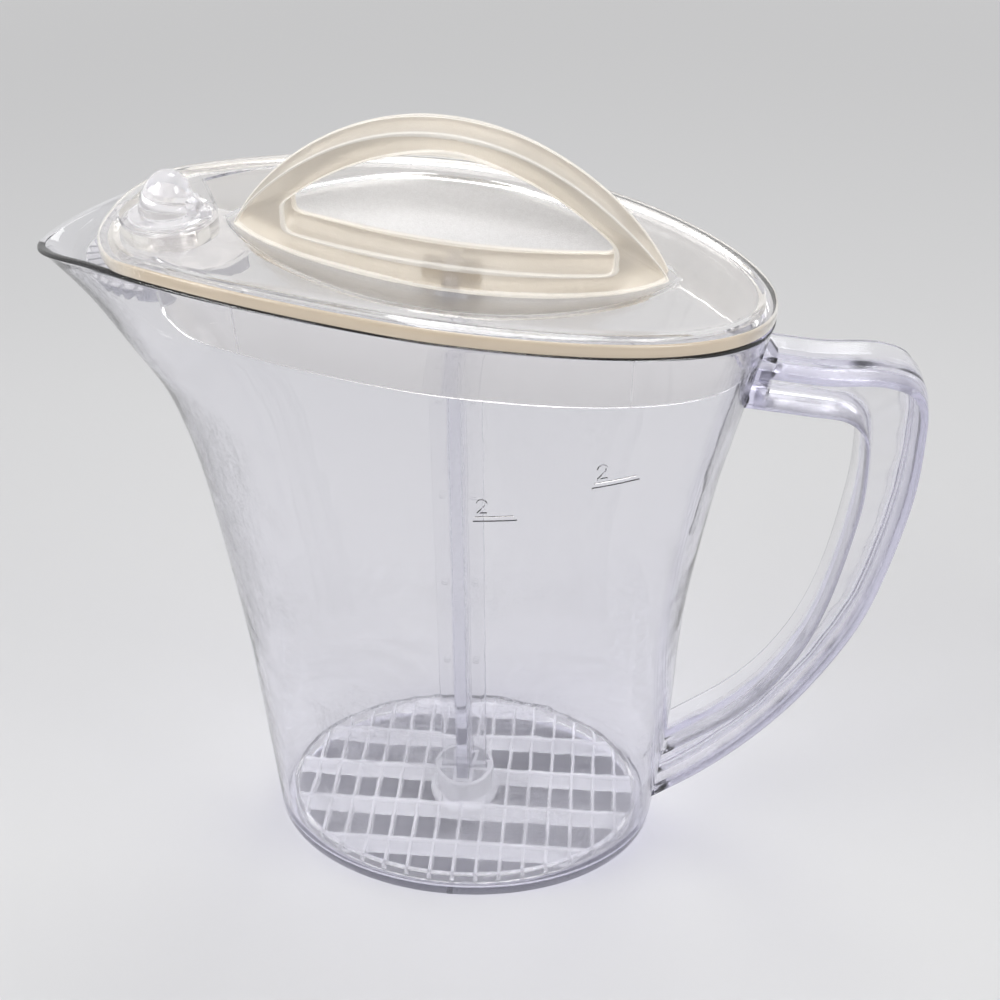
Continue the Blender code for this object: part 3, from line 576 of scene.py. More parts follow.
def turned(name, profile, x=DIAL_X, segments=72):
    """Profile rows are radius, height and an optional shift along X, carried round an upright
    axis."""
    turn = np.arange(segments) * 2 * pi / segments
    rows = []
    for r, z, *lean in profile:
        rows.append(level(np.column_stack([x + sum(lean) + r * np.cos(turn), r * np.sin(turn)]), z))
    return solid(name, rows)


def rounded_profile(corners, radius):
    """An open profile from axis to axis, with its corners rounded."""
    corners = [(0.0, corners[0][1]), *corners, (0.0, corners[-1][1])]
    line = rounded(np.array(corners, float), radius, 5)
    return [tuple(row) for row in line[5:-5]]


def prism(name, outline, low, high, radius=0.0, steps=3):
    """An upright prism on a rounded plan outline; low and high may change from point to point."""
    flat = rounded(outline, radius, steps) if radius else np.asarray(outline, float)
    low, high = (z(flat[:, 0]) if callable(z) else z for z in (low, high))
    return solid(name, [level(flat, low), level(flat, high)])


def cross(grow=0.0):
    """Plan of the rod: a long thin bar along X, a shorter thick one along Y, grown by a
    clearance."""
    a, b, c, d = (size + grow for size in ROD_CROSS)
    corner = [(a, b), (c, b), (c, d)]
    quarter = corner + [(-x, y) for x, y in reversed(corner)]
    return np.array(quarter + [(x, -y) for x, y in reversed(quarter)])


def skirt_shape():
    """A wall from 38.5 degrees beside the spout round to the other side. Over the last seven
    stations at each end the lower edge curves up by 4.2 mm times a square."""
    turns, place = np.linspace(pi + SPOUT_GAP, 3 * pi - SPOUT_GAP, 181), np.arange(181)
    deep = SKIRT_DEPTH - 0.0042 * np.clip(1 - np.minimum(place, place[::-1]) / 7, 0, 1) ** 2
    rows = []
    for wall, low in ((0, 0), (0, 1), (SKIRT_WALL, 1), (SKIRT_WALL, 0)):
        ring = body_oval(1 - SKIRT_DEPTH / RIM_HEIGHT if low else 1, SKIRT_INSET + wall, turns)
        ring = cut_short(ring, SKIRT_REACH - wall, ring[:, 1].max(), 2.0)
        rows.append(on_sheet(ring, -deep if low else -0.003))
    return solid("skirt", rounded(np.stack(rows, axis=1), 0.0005, 3))


def seam(x, side):
    """An upright ridge on the skirt's outer face, where two parts of its mould met. The face is at
    the half width times the p-th root of 1 - (x / reach)^p."""
    z = np.linspace(float(rim_sheet(x)) - 0.0036, float(rim_sheet(x)) - 0.0205, 5)
    spout, grip, half, power = sizes(*np.array([flared(share) for share in z / pitcher_rim(x)]).T)
    reach, power = (grip, 2.0) if x > 0 else (spout, power)
    y = side * (half - SKIRT_INSET) * (1 - (abs(x) / (reach - SKIRT_INSET)) ** power) ** (1 / power)
    section = [(-0.00045, -0.0008), (0.00045, -0.0008), (0.0003, 0.00022), (-0.0003, 0.00022)]
    return carried("seam", rounded(section, 0.0002, 3) * [1, side], x, y, z)


seat, boss_low = (float(rim_sheet(DIAL_X)) - drop for drop in (SEAT_DROP, BOSS_DROP))
joined(lid, skirt_shape(), *(seam(x, side) for side in (-1, 1) for x in SEAMS))
sleeve = prism("sleeve", cross(0.0025), SLEEVE_FOOT, lambda x: handle_keel(x) - 0.0015, 0.0006)
joined(lid, sleeve, turned("boss", [(BOSS_RADIUS, boss_low), (BOSS_RADIUS, seat)]))
well = turned("well", [(WELL_RADIUS, seat), (WELL_RADIUS, seat + 0.005)])
bore = turned("bore", [(BORE_RADIUS, boss_low - 0.005), (BORE_RADIUS, seat + 0.005)])
cut(lid, prism("guide", cross(0.0005), GUIDE_LOW, GUIDE_HIGH), well, bore)
print("lid with skirt, sleeve and boss:", len(lid.data.polygons), "faces")

# %% [markdown]
# ## Plunger handle
# The handle is a D-shaped loop of frosted plastic: an arch to pull and a bar that lies in the dish.
# Its section has a thin rim on each side. Between the rims lies a channel on the inside of the
# loop, and a shallow recess on the outside and on both faces. The section is carried once round the
# D, and the turns at the tips are softened by averaging neighbouring stations, as a file would.

# %% Handle loop
RISE, RIM, RECESS, OPENING = 0.0358, 0.0014, 0.001, 0.046
CHANNEL, CHANNEL_RIM, FIT, ROD_SOCKET = 0.0011, 0.0018, 0.0003, 0.0056
ARCH_THICK, ARCH_NARROWS, TIP_WIDTH, TIP_SHORT = 0.0061, 0.0012, 0.0036, 0.00305
BAR_DROP, BAR_BOW = 0.002, 0.0037


def handle_arch(x):
    """Above the chord by the rise times (1 - the squared share of the length) to the power 0.85."""
    return handle_chord(x) + RISE * np.clip(1 - (x / HANDLE_LENGTH) ** 2, 0, 1) ** 0.85


def handle_edges():
    """Outer and inner edge (x, z) of the D: over the arch, then back along the bar."""
    u = np.linspace(-1, 1, 90)
    x_out, x_in = HANDLE_LENGTH * np.sin(u * pi / 2), OPENING * u
    arch_out = np.column_stack([x_out, handle_arch(x_out)])
    arch_in = np.column_stack([x_in, handle_arch(x_in) - ARCH_THICK * (1 + 0.3 * u**2)])
    v = np.linspace(1, -1, 60)
    x_out, x_in = (HANDLE_LENGTH - TIP_SHORT) * v, OPENING * v
    bar_out = np.column_stack([x_out, handle_keel(x_out)])
    bar_in = np.column_stack([x_in, handle_chord(x_in) - BAR_DROP + BAR_BOW * v**2])
    loops = []
    for arch, bar in ((arch_out, bar_out), (arch_in, bar_in)):
        t = np.linspace(0, 1, 8)[1:-1, None]
        right = arch[-1] + (bar[0] - arch[-1]) * t
        left = bar[-1] + (arch[0] - bar[-1]) * t
        loops.append(np.vstack([arch, right, bar, left]))
    return loops


def softened(loop, rounds):
    """Each station becomes the mean of itself and its two neighbours, a number of times."""
    for _ in range(rounds):
        loop = (np.roll(loop, 1, axis=0) + loop + np.roll(loop, -1, axis=0)) / 3
    return loop


def handle_half_width(edge):
    """Widest at the bar, narrower up the arch, and drawn in at the tips by the eighth power of
    x."""
    x, z = edge.T
    up = np.clip((z - handle_chord(x)) / RISE, 0, 1)
    width = BAR_WIDTH - ARCH_NARROWS * up
    return width + (TIP_WIDTH - width) * np.clip(np.abs(x) / HANDLE_LENGTH, 0, 1) ** 8


def handle_shape():
    """The section, as depth from the inner edge and half width, at each station of the loop."""
    outer, inner = handle_edges()
    w_out, w_in = handle_half_width(outer), handle_half_width(inner)
    outer, inner = softened(outer, 1), softened(inner, 2)
    across = outer - inner
    depth = np.linalg.norm(across, axis=1)
    out = across / depth[:, None]

    def width(d):
        return w_in + (w_out - w_in) * d / depth

    zero, far = np.zeros_like(depth), depth - RIM
    half = [
        (zero + CHANNEL, w_in - CHANNEL_RIM), (zero, w_in - CHANNEL_RIM), (zero, w_in),
        (zero + RIM, width(RIM)), (zero + RIM, width(RIM) - RECESS), (far, width(far) - RECESS),
        (far, width(far)), (depth, w_out), (depth, w_out - RIM), (depth - RECESS / 2, w_out - RIM),
    ]  # fmt: skip
    d, y = both_sides(half, 0.00045, 4)
    grid = np.stack([inner[:, :1] + out[:, :1] * d, y, inner[:, 1:] + out[:, 1:] * d], axis=-1)
    return surface("plunger_loop", grid, along=True)


handle = handle_shape()
rod_top = float(handle_keel(0.0)) + ROD_SOCKET
cut(handle, prism("socket", cross(FIT), SLEEVE_FOOT, rod_top + FIT))
print("handle", len(handle.data.polygons), "faces")

# %% [markdown]
# ## Plunger rod
# The rod is a plain cross in plan, long and thin, with rounded edges. Along its wide flanges it
# carries small round marks where the pins pushed it out of its mould: shallow discs cut into both
# faces at four heights.

# %% Rod
ROD_FOOT = FLOOR + 0.0051
PIN_HEIGHTS, PIN_RADIUS = (0.0743, 0.1105, 0.147, 0.183), 0.00125


def pin_marks():
    """Short lying cylinders, half sunk into the two faces of the wide flange, as one grid each."""
    turn = np.arange(24) * 2 * pi / 24
    circle = np.column_stack([np.cos(turn), np.sin(turn)]) * PIN_RADIUS
    for z in PIN_HEIGHTS:
        for x in (-0.0051, 0.0051):
            for side in (-1, 1):
                yield solid("pin", [upright([x, z] + circle, side * y) for y in (0.00078, 0.0013)])


rod = cut(prism("rod_clear", cross(), ROD_FOOT, rod_top, 0.00045, 4), *pin_marks())
print("rod", len(rod.data.polygons), "faces")

# %% [markdown]
# ## Mixing plate
# The plate is an oval ring filled with a lattice. Slanted slats run along it and thin upright ribs
# cross them, so liquid is turned over as the plate moves. A hub in the middle takes the rod's foot.
# A slat is a faceted sheet with a lip along both edges, which catches the light, and a rib is a bar
# that narrows upwards. Each is trimmed by an oval just inside the ring's outer face. The hub is a
# cup with the rod's cross-shaped seat in it.

# %% Plate
PLATE_LOW, PLATE_HIGH = FLOOR + 0.003, FLOOR + 0.008
PLATE_LENGTH, PLATE_WIDTH, RING_WALL = BASE_LENGTH - 0.0055, BASE_WIDTH - 0.0031, 0.0018
RIBS, PITCH = 15, 0.0082
SLATS, SLAT_SPACING, BULGE = 5, 0.0178, 0.00033


def plate_oval(inset):
    return oval(PLATE_LENGTH - inset, PLATE_LENGTH - inset, PLATE_WIDTH - inset)


def plate_ring():
    """A rectangular section with rounded corners, carried round the oval."""
    section = [(0, PLATE_LOW), (0, PLATE_HIGH), (RING_WALL, PLATE_HIGH), (RING_WALL, PLATE_LOW)]
    rows = [level(plate_oval(inset), z) for inset, z in rounded(section, 0.0005, 4)]
    return surface("plate_clear", np.array(rows), along=True)


def lipped(low, high, reach, foot, web, lip):
    """A thin sheet, leaning by its reach, with a thick foot and a lip on top: its section goes up
    one face and down the other."""
    share = np.array([0, 0.16, 0.26, 0.76, 0.84, 1])
    half = np.array([foot, foot, web * 1.3, web, lip, lip])
    across, height = (share - 0.5) * reach, low + (high - low) * share
    right, left = np.column_stack([across + half, height]), np.column_stack([across - half, height])
    return rounded(np.vstack([right, left[::-1]]), 0.00022, 3)


def slat_place(k):
    """Slats are 17.8 mm apart, and the middle one lies 3.7 mm behind the rod."""
    return (k - 2) * SLAT_SPACING + 0.0037


def slat(y, section):
    """The section carried along X. Between its lips the sheet bulges to and fro by a third of a
    millimetre, in straight facets: a triangle wave with two peaks for each bay between two ribs."""
    bays = np.arange(-9, 9, 0.25)
    wave = np.abs((2 * bays) % 1 - 0.5) * 4 - 1
    z = section[:, 1]
    inner = np.clip(1 - np.abs((z - z.min()) / np.ptp(z) - 0.5) / 0.3, 0, 1)
    grid = np.empty((len(bays), len(z), 3))
    grid[..., 0] = (bays[:, None] + 0.061) * PITCH
    grid[..., 1] = y + section[:, 0] + BULGE * wave[:, None] * inner
    grid[..., 2] = z
    return solid("slat", grid)


def rib(x, section):
    """The section of places beside x and heights, carried along Y from the far side to the near
    one."""
    return solid("rib", [upright(section + [x, 0], y) for y in (BASE_WIDTH, -BASE_WIDTH)])


def lattice():
    """The slats lean by 4 mm over their height, which is 46 degrees. The ribs are one pitch
    apart."""
    low, high = PLATE_LOW + 0.0008, PLATE_HIGH - 0.0004
    lean = lipped(low, high, reach=0.004, foot=0.00075, web=0.0004, lip=0.0006)
    for k in range(SLATS):
        yield slat(slat_place(k), lean)
    low, high = PLATE_LOW + 0.0004, PLATE_HIGH - 0.0008
    thin = rounded([(-0.0009, low), (0.0009, low), (0.00055, high), (-0.00055, high)], 0.0003, 3)
    for k in range(RIBS):
        yield rib((k - RIBS // 2) * PITCH, thin)


plate = plate_ring()
for strip in lattice():
    trim = prism("trim", plate_oval(RING_WALL / 2), PLATE_LOW - 0.005, PLATE_HIGH + 0.005)
    joined(plate, joined(strip, trim, operation="INTERSECT"))
hub = [(0.013, 0), (0.013, 0.0026), (0.011, 0.0036), (0.011, 0.0136)]
cup = [(0.0095, 0.0033), (0.0098, 0.02)]
hub, cup = ([(radius, PLATE_LOW + height) for radius, height in profile] for profile in (hub, cup))
joined(plate, turned("hub", rounded_profile(hub, 0.0008), 0.0))
cut(plate, turned("cup", rounded_profile(cup, 0.0006), 0.0, 66))
joined(plate, prism("guide_walls", cross(0.0016), PLATE_LOW + 0.002, PLATE_LOW + 0.0128, 0.0003))
cut(plate, prism("foot", cross(FIT), ROD_FOOT - FIT, PLATE_LOW + 0.02))
print("plate", len(plate.data.polygons), "faces")

# %% [markdown]
# ## Dial
# Above the lid the dial is a small clear bell on a flange, leaning towards the grip, with a rounded
# wedge to push and a pointer. A square key goes down through the boss into the strainer, a disc
# with a comb of teeth on one side and a plain wall on the other. Turning it brings the comb, the
# wall or the open side to the spout.

# %% Knob
KNOB_SEAT, SHAFT_LOW = seat + SEAT_GAP, boss_low - SEAT_GAP
KEY, KEYWAY = 0.0042, 0.0045
SHAFT_RADIUS, FLANGE_RADIUS, NECK_RADIUS = 0.0066, 0.011, 0.0072
BELL_RADIUS, BELL_HEIGHT, BELL_LEAN = 0.0079, 0.0114, 0.0018


def square(half):
    """Plan of the key or its seat: a square about the dial's axis."""
    return np.array([(-1, -1), (1, -1), (1, 1), (-1, 1)]) * half + [DIAL_X, 0]


def knob_shape():
    """A flange, a groove and a bell whose rings shrink as a cosine, rise as a sine and lean with
    it."""
    neck = KNOB_SEAT + 0.0016
    dome = neck + 0.0008
    foot = [(SHAFT_RADIUS, SHAFT_LOW), (SHAFT_RADIUS, KNOB_SEAT), (FLANGE_RADIUS, KNOB_SEAT)]
    foot += [(FLANGE_RADIUS, neck), (NECK_RADIUS, neck), (NECK_RADIUS, dome)]
    line = rounded_profile(foot, 0.0004)[:-6]
    bell = [
        (BELL_RADIUS * cos(t), dome + BELL_HEIGHT * sin(t), BELL_LEAN * sin(t))
        for t in np.linspace(0, pi / 2, 20)[:-1]
    ]
    knob = turned("knob_clear", [(r, z, 0.0) for r, z in line] + bell)
    ridge = [
        (0, neck - 0.0008), (0.0102, neck - 0.0008), (0.0102, neck + 0.0036), (0, dome + 0.0075),
    ]  # fmt: skip
    fin = rounded([(x + DIAL_X, z) for x, z in ridge], 0.0018, 6)
    half = [(-0.0036, 0.80), (-0.0033, 0.92), (-0.0026, 0.98), (-0.0016, 1.0)]
    middle, half = fin.mean(0), half + [(-y, share) for y, share in half[::-1]]
    wedge = solid("fin", [upright(middle + (fin - middle) * share, y) for y, share in half])
    point = [(0.002, KNOB_SEAT), (0.002, KNOB_SEAT + 0.0028)]
    pointer = turned("point", rounded_profile(point, 0.0006), DIAL_X + FLANGE_RADIUS, 24)
    key = prism("key", square(KEY), boss_low - 0.0034, SHAFT_LOW + 0.0008, 0.0004)
    return joined(knob, wedge, pointer, key)


knob = knob_shape()
print("knob", len(knob.data.polygons), "faces")

# %% [markdown]
# ## Strainer
# The strainer hangs under the lid and turns with the knob. Its teeth are thin radial plates, placed
# at equal angles by one function of the angle, so that the gaps between them are equally wide.

# %% Strainer
DISC_TOP, DISC_THICK = boss_low - 0.0025, 0.0018
STRAINER_RADIUS, SHUTTER_FROM, SHUTTER_TO = 0.0243, radians(268), radians(348)
TEETH, FIRST_TOOTH, TOOTH_STEP, TOOTH_HALF = 16, 97, 11, 0.0006


def tooth(turn):
    """A thin radial plate whose lower outer corner is cut off."""
    out = np.array([cos(turn), sin(turn)])
    side = np.array([-out[1], out[0]])
    high, low = DISC_TOP - 0.001, DISC_TOP - 0.0068
    inner, outer = STRAINER_RADIUS - 0.0084, STRAINER_RADIUS
    section = [(inner, high), (inner, low), (outer - 0.0026, low), (outer, high)]
    reach, z = rounded(section, 0.0004, 3).T
    faces = (np.outer(reach, out) + side * half + [DIAL_X, 0] for half in (-TOOTH_HALF, TOOTH_HALF))
    return solid("tooth", [level(face, z) for face in faces])


def strainer_wall():
    """A rectangular section carried along an arc of 80 degrees about the dial's axis."""
    low, high = DISC_TOP - 0.0054, DISC_TOP - 0.001
    inner, outer = STRAINER_RADIUS - 0.0016, STRAINER_RADIUS
    section = rounded([(inner, low), (outer, low), (outer, high), (inner, high)], 0.0004, 3)
    turn = np.linspace(SHUTTER_FROM, SHUTTER_TO, 41)[:, None]
    r, z = section[:, 0], np.broadcast_to(section[:, 1], (41, len(section)))
    return solid("shutter", np.stack([DIAL_X + r * np.cos(turn), r * np.sin(turn), z], axis=-1))


disc = [(STRAINER_RADIUS, DISC_TOP - DISC_THICK), (STRAINER_RADIUS, DISC_TOP)]
disc += [(0.0095, DISC_TOP), (0.0095, boss_low - 0.0009)]
strainer = turned("strainer_clear", rounded_profile(disc, 0.0004))
teeth = (tooth(radians(FIRST_TOOTH + TOOTH_STEP * k)) for k in range(TEETH))
joined(strainer, *teeth, strainer_wall())
cut(strainer, prism("keyway", square(KEYWAY), DISC_TOP - 0.007, boss_low + 0.005))
print("strainer", len(strainer.data.polygons), "faces")

# %% [markdown]
# ## Masks and marked faces
# Some finishes change across one moulding: the dish is etched where the rest of the lid is
# polished, and the grip is duller than the body. A number from 0 to 1 kept at each point of the
# mesh says how much of a finish a place has. The material reads it by name, so the border follows
# the shape. The mask tan says where the painted glow on the lid's edge turns tan. Where a look
# differs too much for a mask, the faces are picked by where their middles lie and get a second
# material: the lid's edge with a painted glow, the comb painted grey as painted shade, the lattice
# and hub paler as painted sparkle, and the handle's lips paler as a painted highlight.


# %% Masks and marked faces
NEAR, EDGE_DEPTH = 0.0001, 0.0012
SLAT_NEAR, RIB_NEAR, HUB_NEAR = 0.0031, 0.00096, 0.0133


def read(items, what):
    """Three numbers for each point or face of a mesh, as one array."""
    flat = np.empty(len(items) * 3)
    items.foreach_get(what, flat)
    return flat.reshape(-1, 3)


def mask(piece, name, values):
    """Keeps a number at each point of the mesh."""
    layer = piece.data.attributes.new(name, "FLOAT", "POINT")
    layer.data.foreach_set("value", np.asarray(values, np.float32))
    print(f"{piece.name}: {name} on {int((values > 0.5).sum())} of {len(values)} points")


def ramp(value, low, high):
    """0 below low, 1 above high, and the curve 3t^2 - 2t^3 in between."""
    t = np.clip((value - low) / (high - low), 0, 1)
    return t * t * (3 - 2 * t)


def outside_body(points):
    """How far a point's plan place is beyond the body's outline at its height, 1 on the outline."""
    x, y, z = points.T
    reach, half = grip_side(x, z)
    return np.where(x > 0, np.hypot(x / reach, y / half), 0)


def middles(piece):
    """The middles of the faces, as three rows."""
    return read(piece.data.polygons, "center").T


def lattice_faces(piece):
    """Which faces belong to a slat, a rib or the hub: near a slat's Y or a rib's X, inside the
    ring."""
    x, y, _ = middles(piece)
    slats = np.min([np.abs(y - slat_place(k)) for k in range(SLATS)], axis=0) < SLAT_NEAR
    ribs = np.abs((x / PITCH + 0.5) % 1 - 0.5) * PITCH < RIB_NEAR
    length, width = (size - RING_WALL - NEAR for size in (PLATE_LENGTH, PLATE_WIDTH))
    inside = np.hypot(x / length, y / width) < 1
    return (slats | ribs | (np.hypot(x, y) < HUB_NEAR)) & inside


def rim_faces(piece, depth):
    """Which faces have their middle within a depth of the lid's outline: outlines are compared by
    the distance from the upright axis at the same turn."""
    x, y, z = middles(piece)
    outline = lid_oval(0)
    turns, out = np.arctan2(outline[:, 1], outline[:, 0]), np.linalg.norm(outline, axis=1)
    order = np.argsort(turns)
    limit = np.interp(np.arctan2(y, x), turns[order], out[order], period=2 * pi)
    return (np.hypot(x, y) > limit - depth) & (z > rim_sheet(x) - LID_EDGE - 2 * NEAR)


def lip_faces(piece):
    """Which faces of the handle are on its thin rims: near a side and near the loop's edge
    curves."""
    x, y, z = middles(piece)
    place = np.column_stack([x, z])
    curves = np.vstack(handle_edges())
    away = np.min(np.linalg.norm(place[:, None] - curves, axis=2), axis=1)
    return (away < RIM + NEAR) & (np.abs(y) > handle_half_width(place) - CHANNEL_RIM - NEAR)


# Second looks, mostly painted light: the lid edge's glow, the lattice's sparkle, the lips'
# highlight, the comb's shade.
marked = {
    lid: rim_faces(lid, EDGE_DEPTH), plate: lattice_faces(plate), handle: lip_faces(handle),
    strainer: middles(strainer)[2] < DISC_TOP - DISC_THICK - NEAR / 2,
}  # fmt: skip
mask(body, "grip", ramp(outside_body(read(body.data.vertices, "co")), 1.0, 1.04))
x, y, _ = read(lid.data.vertices, "co").T
# Where the painted glow on the lid's edge turns tan: towards the near side, away from the spout.
mask(lid, "tan", ramp(-y, 0.006, 0.034) * ramp(x, -0.099, -0.075))
dish = DISH[1] * np.clip(1 - (x / DISH[0]) ** 2, 0, 1) ** DISH_POWER
faces_up = read(lid.data.vertices, "normal")[:, 2] > 0.15
mask(lid, "etched", ramp(dish - np.abs(y), 0.0, 0.0025) * faces_up)
for piece, faces in marked.items():
    print(f"{piece.name}: {int(faces.sum())} of {len(faces)} faces have a second look")

# %% [markdown]
# ## Finishes shared by the plastics
# Four things make moulded plastic look real: slow waves where it cooled unevenly, fine scratches
# from use and washing, an etched grain on frosted faces, and short ripples on small pressed shapes.
# Each is a small node group that gives a height or a mask from Object coordinates. The materials
# decide how strongly each one counts. One helper makes every node: it sets what is a number and
# links what comes from another node.


# %% Node groups
def node(tree, kind, sockets, **settings):
    """A shader node with its settings. Each input socket named or counted in sockets is set to a
    value, or linked where the value is another node's socket."""
    made = tree.nodes.new("ShaderNode" + kind)
    for name, value in settings.items():
        setattr(made, name, value)
    for socket, value in sockets.items():
        if isinstance(value, bpy.types.NodeSocket):
            tree.links.new(value, made.inputs[socket])
        else:
            made.inputs[socket].default_value = value
    return made


def maths(tree, operation, first, second):
    """A Math node on two sockets or numbers."""
    return node(tree, "Math", {0: first, 1: second}, operation=operation).outputs[0]


def between(tree, value, low, high, start=0.0, stop=1.0):
    """A Map Range node: start at low, stop at high, held outside."""
    ends = {"From Min": low, "From Max": high, "To Min": start, "To Max": stop}
    return node(tree, "MapRange", {"Value": value, **ends}).outputs["Result"]


def noise(tree, where, scale, detail=2.0, stretch=(1, 1, 1), turn=(0, 0, 0)):
    """Fractal noise, stretched and turned by a Mapping node."""
    mapped = node(tree, "Mapping", {"Vector": where, "Scale": stretch, "Rotation": turn}).outputs[0]
    sockets = {"Vector": mapped, "Scale": scale, "Detail": detail}
    return node(tree, "TexNoise", sockets).outputs["Fac"]


def group_of(name, output):
    """An empty group with one number out and the Object coordinates ready inside."""
    made = bpy.data.node_groups.new(name, "ShaderNodeTree")
    made.interface.new_socket(output, in_out="OUTPUT", socket_type="NodeSocketFloat")
    where = made.nodes.new("ShaderNodeTexCoord").outputs["Object"]
    return made, where, made.nodes.new("NodeGroupOutput").inputs[0]


def waves_group():
    made, where, out = group_of("cooling_waves", "Height")
    slow, fast = noise(made, where, 26, 1.5, (1, 1, 0.55)), noise(made, where, 85, 1.0)
    made.links.new(maths(made, "ADD", slow, maths(made, "MULTIPLY", fast, 0.22)), out)
    return made


def scratch_group():
    """Thin lines: where a long, narrow noise passes its middle value, taken in three directions."""
    made, where, out = group_of("fine_scratches", "Mask")
    total = 0.0
    for stretch, turn in (
        ((1, 1, 0.03), (0.5, 0.2, 0)),
        ((0.03, 1, 1), (0.1, 0.6, 0.4)),
        ((1, 0.04, 1), (0.7, 0, 0.9)),
    ):
        from_middle = maths(made, "SUBTRACT", noise(made, where, 420, 3, stretch, turn), 0.5)
        line = between(made, maths(made, "ABSOLUTE", from_middle, 0.0), 0.0, 0.006, 1, 0)
        total = maths(made, "MAXIMUM", line, total)
    patches = between(made, noise(made, where, 22, 2), 0.48, 0.66)
    made.links.new(maths(made, "MULTIPLY", total, patches), out)
    return made


def grain_group():
    made, where, out = group_of("etched_grain", "Height")
    fine, coarse = noise(made, where, 2600, 2), noise(made, where, 620, 1)
    made.links.new(maths(made, "ADD", fine, maths(made, "MULTIPLY", coarse, 0.35)), out)
    return made


def ripple_group():
    made, where, out = group_of("pressed_ripples", "Height")
    made.links.new(noise(made, where, 330, 1, (1, 0.45, 1)), out)
    return made


waves, scratches, grain, ripples = waves_group(), scratch_group(), grain_group(), ripple_group()
print("groups", [g.name for g in (waves, scratches, grain, ripples)])

# %% [markdown]
# ## Clear plastic
# Clear plastic is glass-like: light goes through and bends by its index of about 1.5. Colour
# belongs inside it, not on it, so a Volume Absorption node takes a little of each colour away for
# every millimetre. Thin walls then look clear while thick edges turn violet, with nothing painted.
# The lid's edge is the exception: light that runs along inside the lid comes out there as a tan
# glow, which would take very long paths to follow, so its faces have a tan material, a painted
# glow.
# The lattice and its hub have a hazier, partly milky material, a painted sparkle that stands in for
# the glints of their thin ripples, and the comb a grey one, painted shade that makes its teeth
# stand out from the clear walls. A shadow ray can't bend, so it passes straight through, a little
# dimmed.
# Light can also be caught in small thick forms until Blender gives it up as black, so late rays
# pass straight too.


# %% Clear plastic
SHADOW_TINT, SCRATCHED, LOST_PER_METRE = (0.86, 0.86, 0.87), 0.16, 50


def use(tree, group):
    return node(tree, "Group", {}, node_tree=group).outputs[0]


def attribute(tree, name):
    return node(tree, "Attribute", {}, attribute_name=name).outputs["Fac"]


def mixed(tree, factor, first, second):
    """A colour between two, each of which is three numbers or a socket."""
    first, second = ((*c, 1) if isinstance(c, tuple) else c for c in (first, second))
    return node(tree, "Mix", {0: factor, 6: first, 7: second}, data_type="RGBA").outputs[2]


def principled(name, index, clear, base):
    """A new material, its tree and its shader, with the constant values set on the shader
    itself."""
    made = bpy.data.materials.new(name)
    made.use_nodes = True
    shader = made.node_tree.nodes["Principled BSDF"]
    shader.inputs["IOR"].default_value = index
    shader.inputs["Transmission Weight"].default_value = clear
    shader.inputs["Base Color"].default_value = (*base, 1)
    return made, made.node_tree, shader


def bumped(tree, shader, *terms):
    """Bump from the sum of heights, each times its weight in metres."""
    total = None
    for height, weight in terms:
        part = maths(tree, "MULTIPLY", height, weight)
        total = part if total is None else maths(tree, "ADD", total, part)
    bump = node(tree, "Bump", {"Strength": 1.0, "Distance": 1.0, "Height": total})
    tree.links.new(bump.outputs["Normal"], shader.inputs["Normal"])


def see_through(tree, shader, shadow, lost=None, deepest=None):
    """Shadow rays pass with the shadow's tint, and inside light loses (1 - lost) times 50 per
    metre. Rays that have turned more often than the deepest count, or been mirrored three times,
    pass too."""
    passing = node(tree, "BsdfTransparent", {"Color": (*shadow, 1)}).outputs[0]
    rays = tree.nodes.new("ShaderNodeLightPath").outputs
    passes = rays["Is Shadow Ray"]
    if deepest is not None:
        for count, limit in (("Ray Depth", deepest), ("Glossy Depth", 2)):
            passes = maths(tree, "MAXIMUM", passes, maths(tree, "GREATER_THAN", rays[count], limit))
    output = tree.nodes["Material Output"]
    mix = node(tree, "MixShader", {0: passes, 1: shader.outputs[0], 2: passing})
    tree.links.new(mix.outputs[0], output.inputs["Surface"])
    if lost:
        inside = node(tree, "VolumeAbsorption", {"Color": (*lost, 1), "Density": LOST_PER_METRE})
        tree.links.new(inside.outputs["Volume"], output.inputs["Volume"])


def clear_plastic(
    name, polish, wave=0.0002, ripple=0.0, base=(0.985, 0.985, 0.985), clear=1.0, lost=None,
    deepest=None, dull=None, haze=None, frost=None, tint=None,
):  # fmt: skip
    """Polish is the roughness of clean faces, to which scratches add. Wave and ripple are heights
    in metres. Dull names a mask of etched places: haze gives the roughness and the height of the
    grain there, and frost its colour. Tint is the colour where the mask tan is 1."""
    made, tree, shader = principled(name, 1.53, clear, base)
    lines = use(tree, scratches)
    rough = between(tree, lines, 0, 1, polish, polish + SCRATCHED)
    terms = [(use(tree, waves), wave), (lines, -0.00001)]
    if ripple:
        terms.append((use(tree, ripples), ripple))
    if dull:
        where = attribute(tree, dull)
        rough = maths(tree, "ADD", rough, maths(tree, "MULTIPLY", where, haze[0]))
        terms.append((maths(tree, "MULTIPLY", use(tree, grain), where), haze[1]))
    if frost:
        grained = between(tree, use(tree, grain), 0.5, 0.85, 0.35, 1.0)
        spots = maths(tree, "MULTIPLY", where, grained)
        tree.links.new(mixed(tree, spots, base, frost), shader.inputs["Base Color"])
    # Painted glow: the tint paints the tan glow of the lid's edge into the base colour.
    if tint:
        tree.links.new(mixed(tree, attribute(tree, "tan"), base, tint), shader.inputs["Base Color"])
    tree.links.new(rough, shader.inputs["Roughness"])
    bumped(tree, shader, *terms)
    see_through(tree, shader, SHADOW_TINT, lost, deepest)
    return made


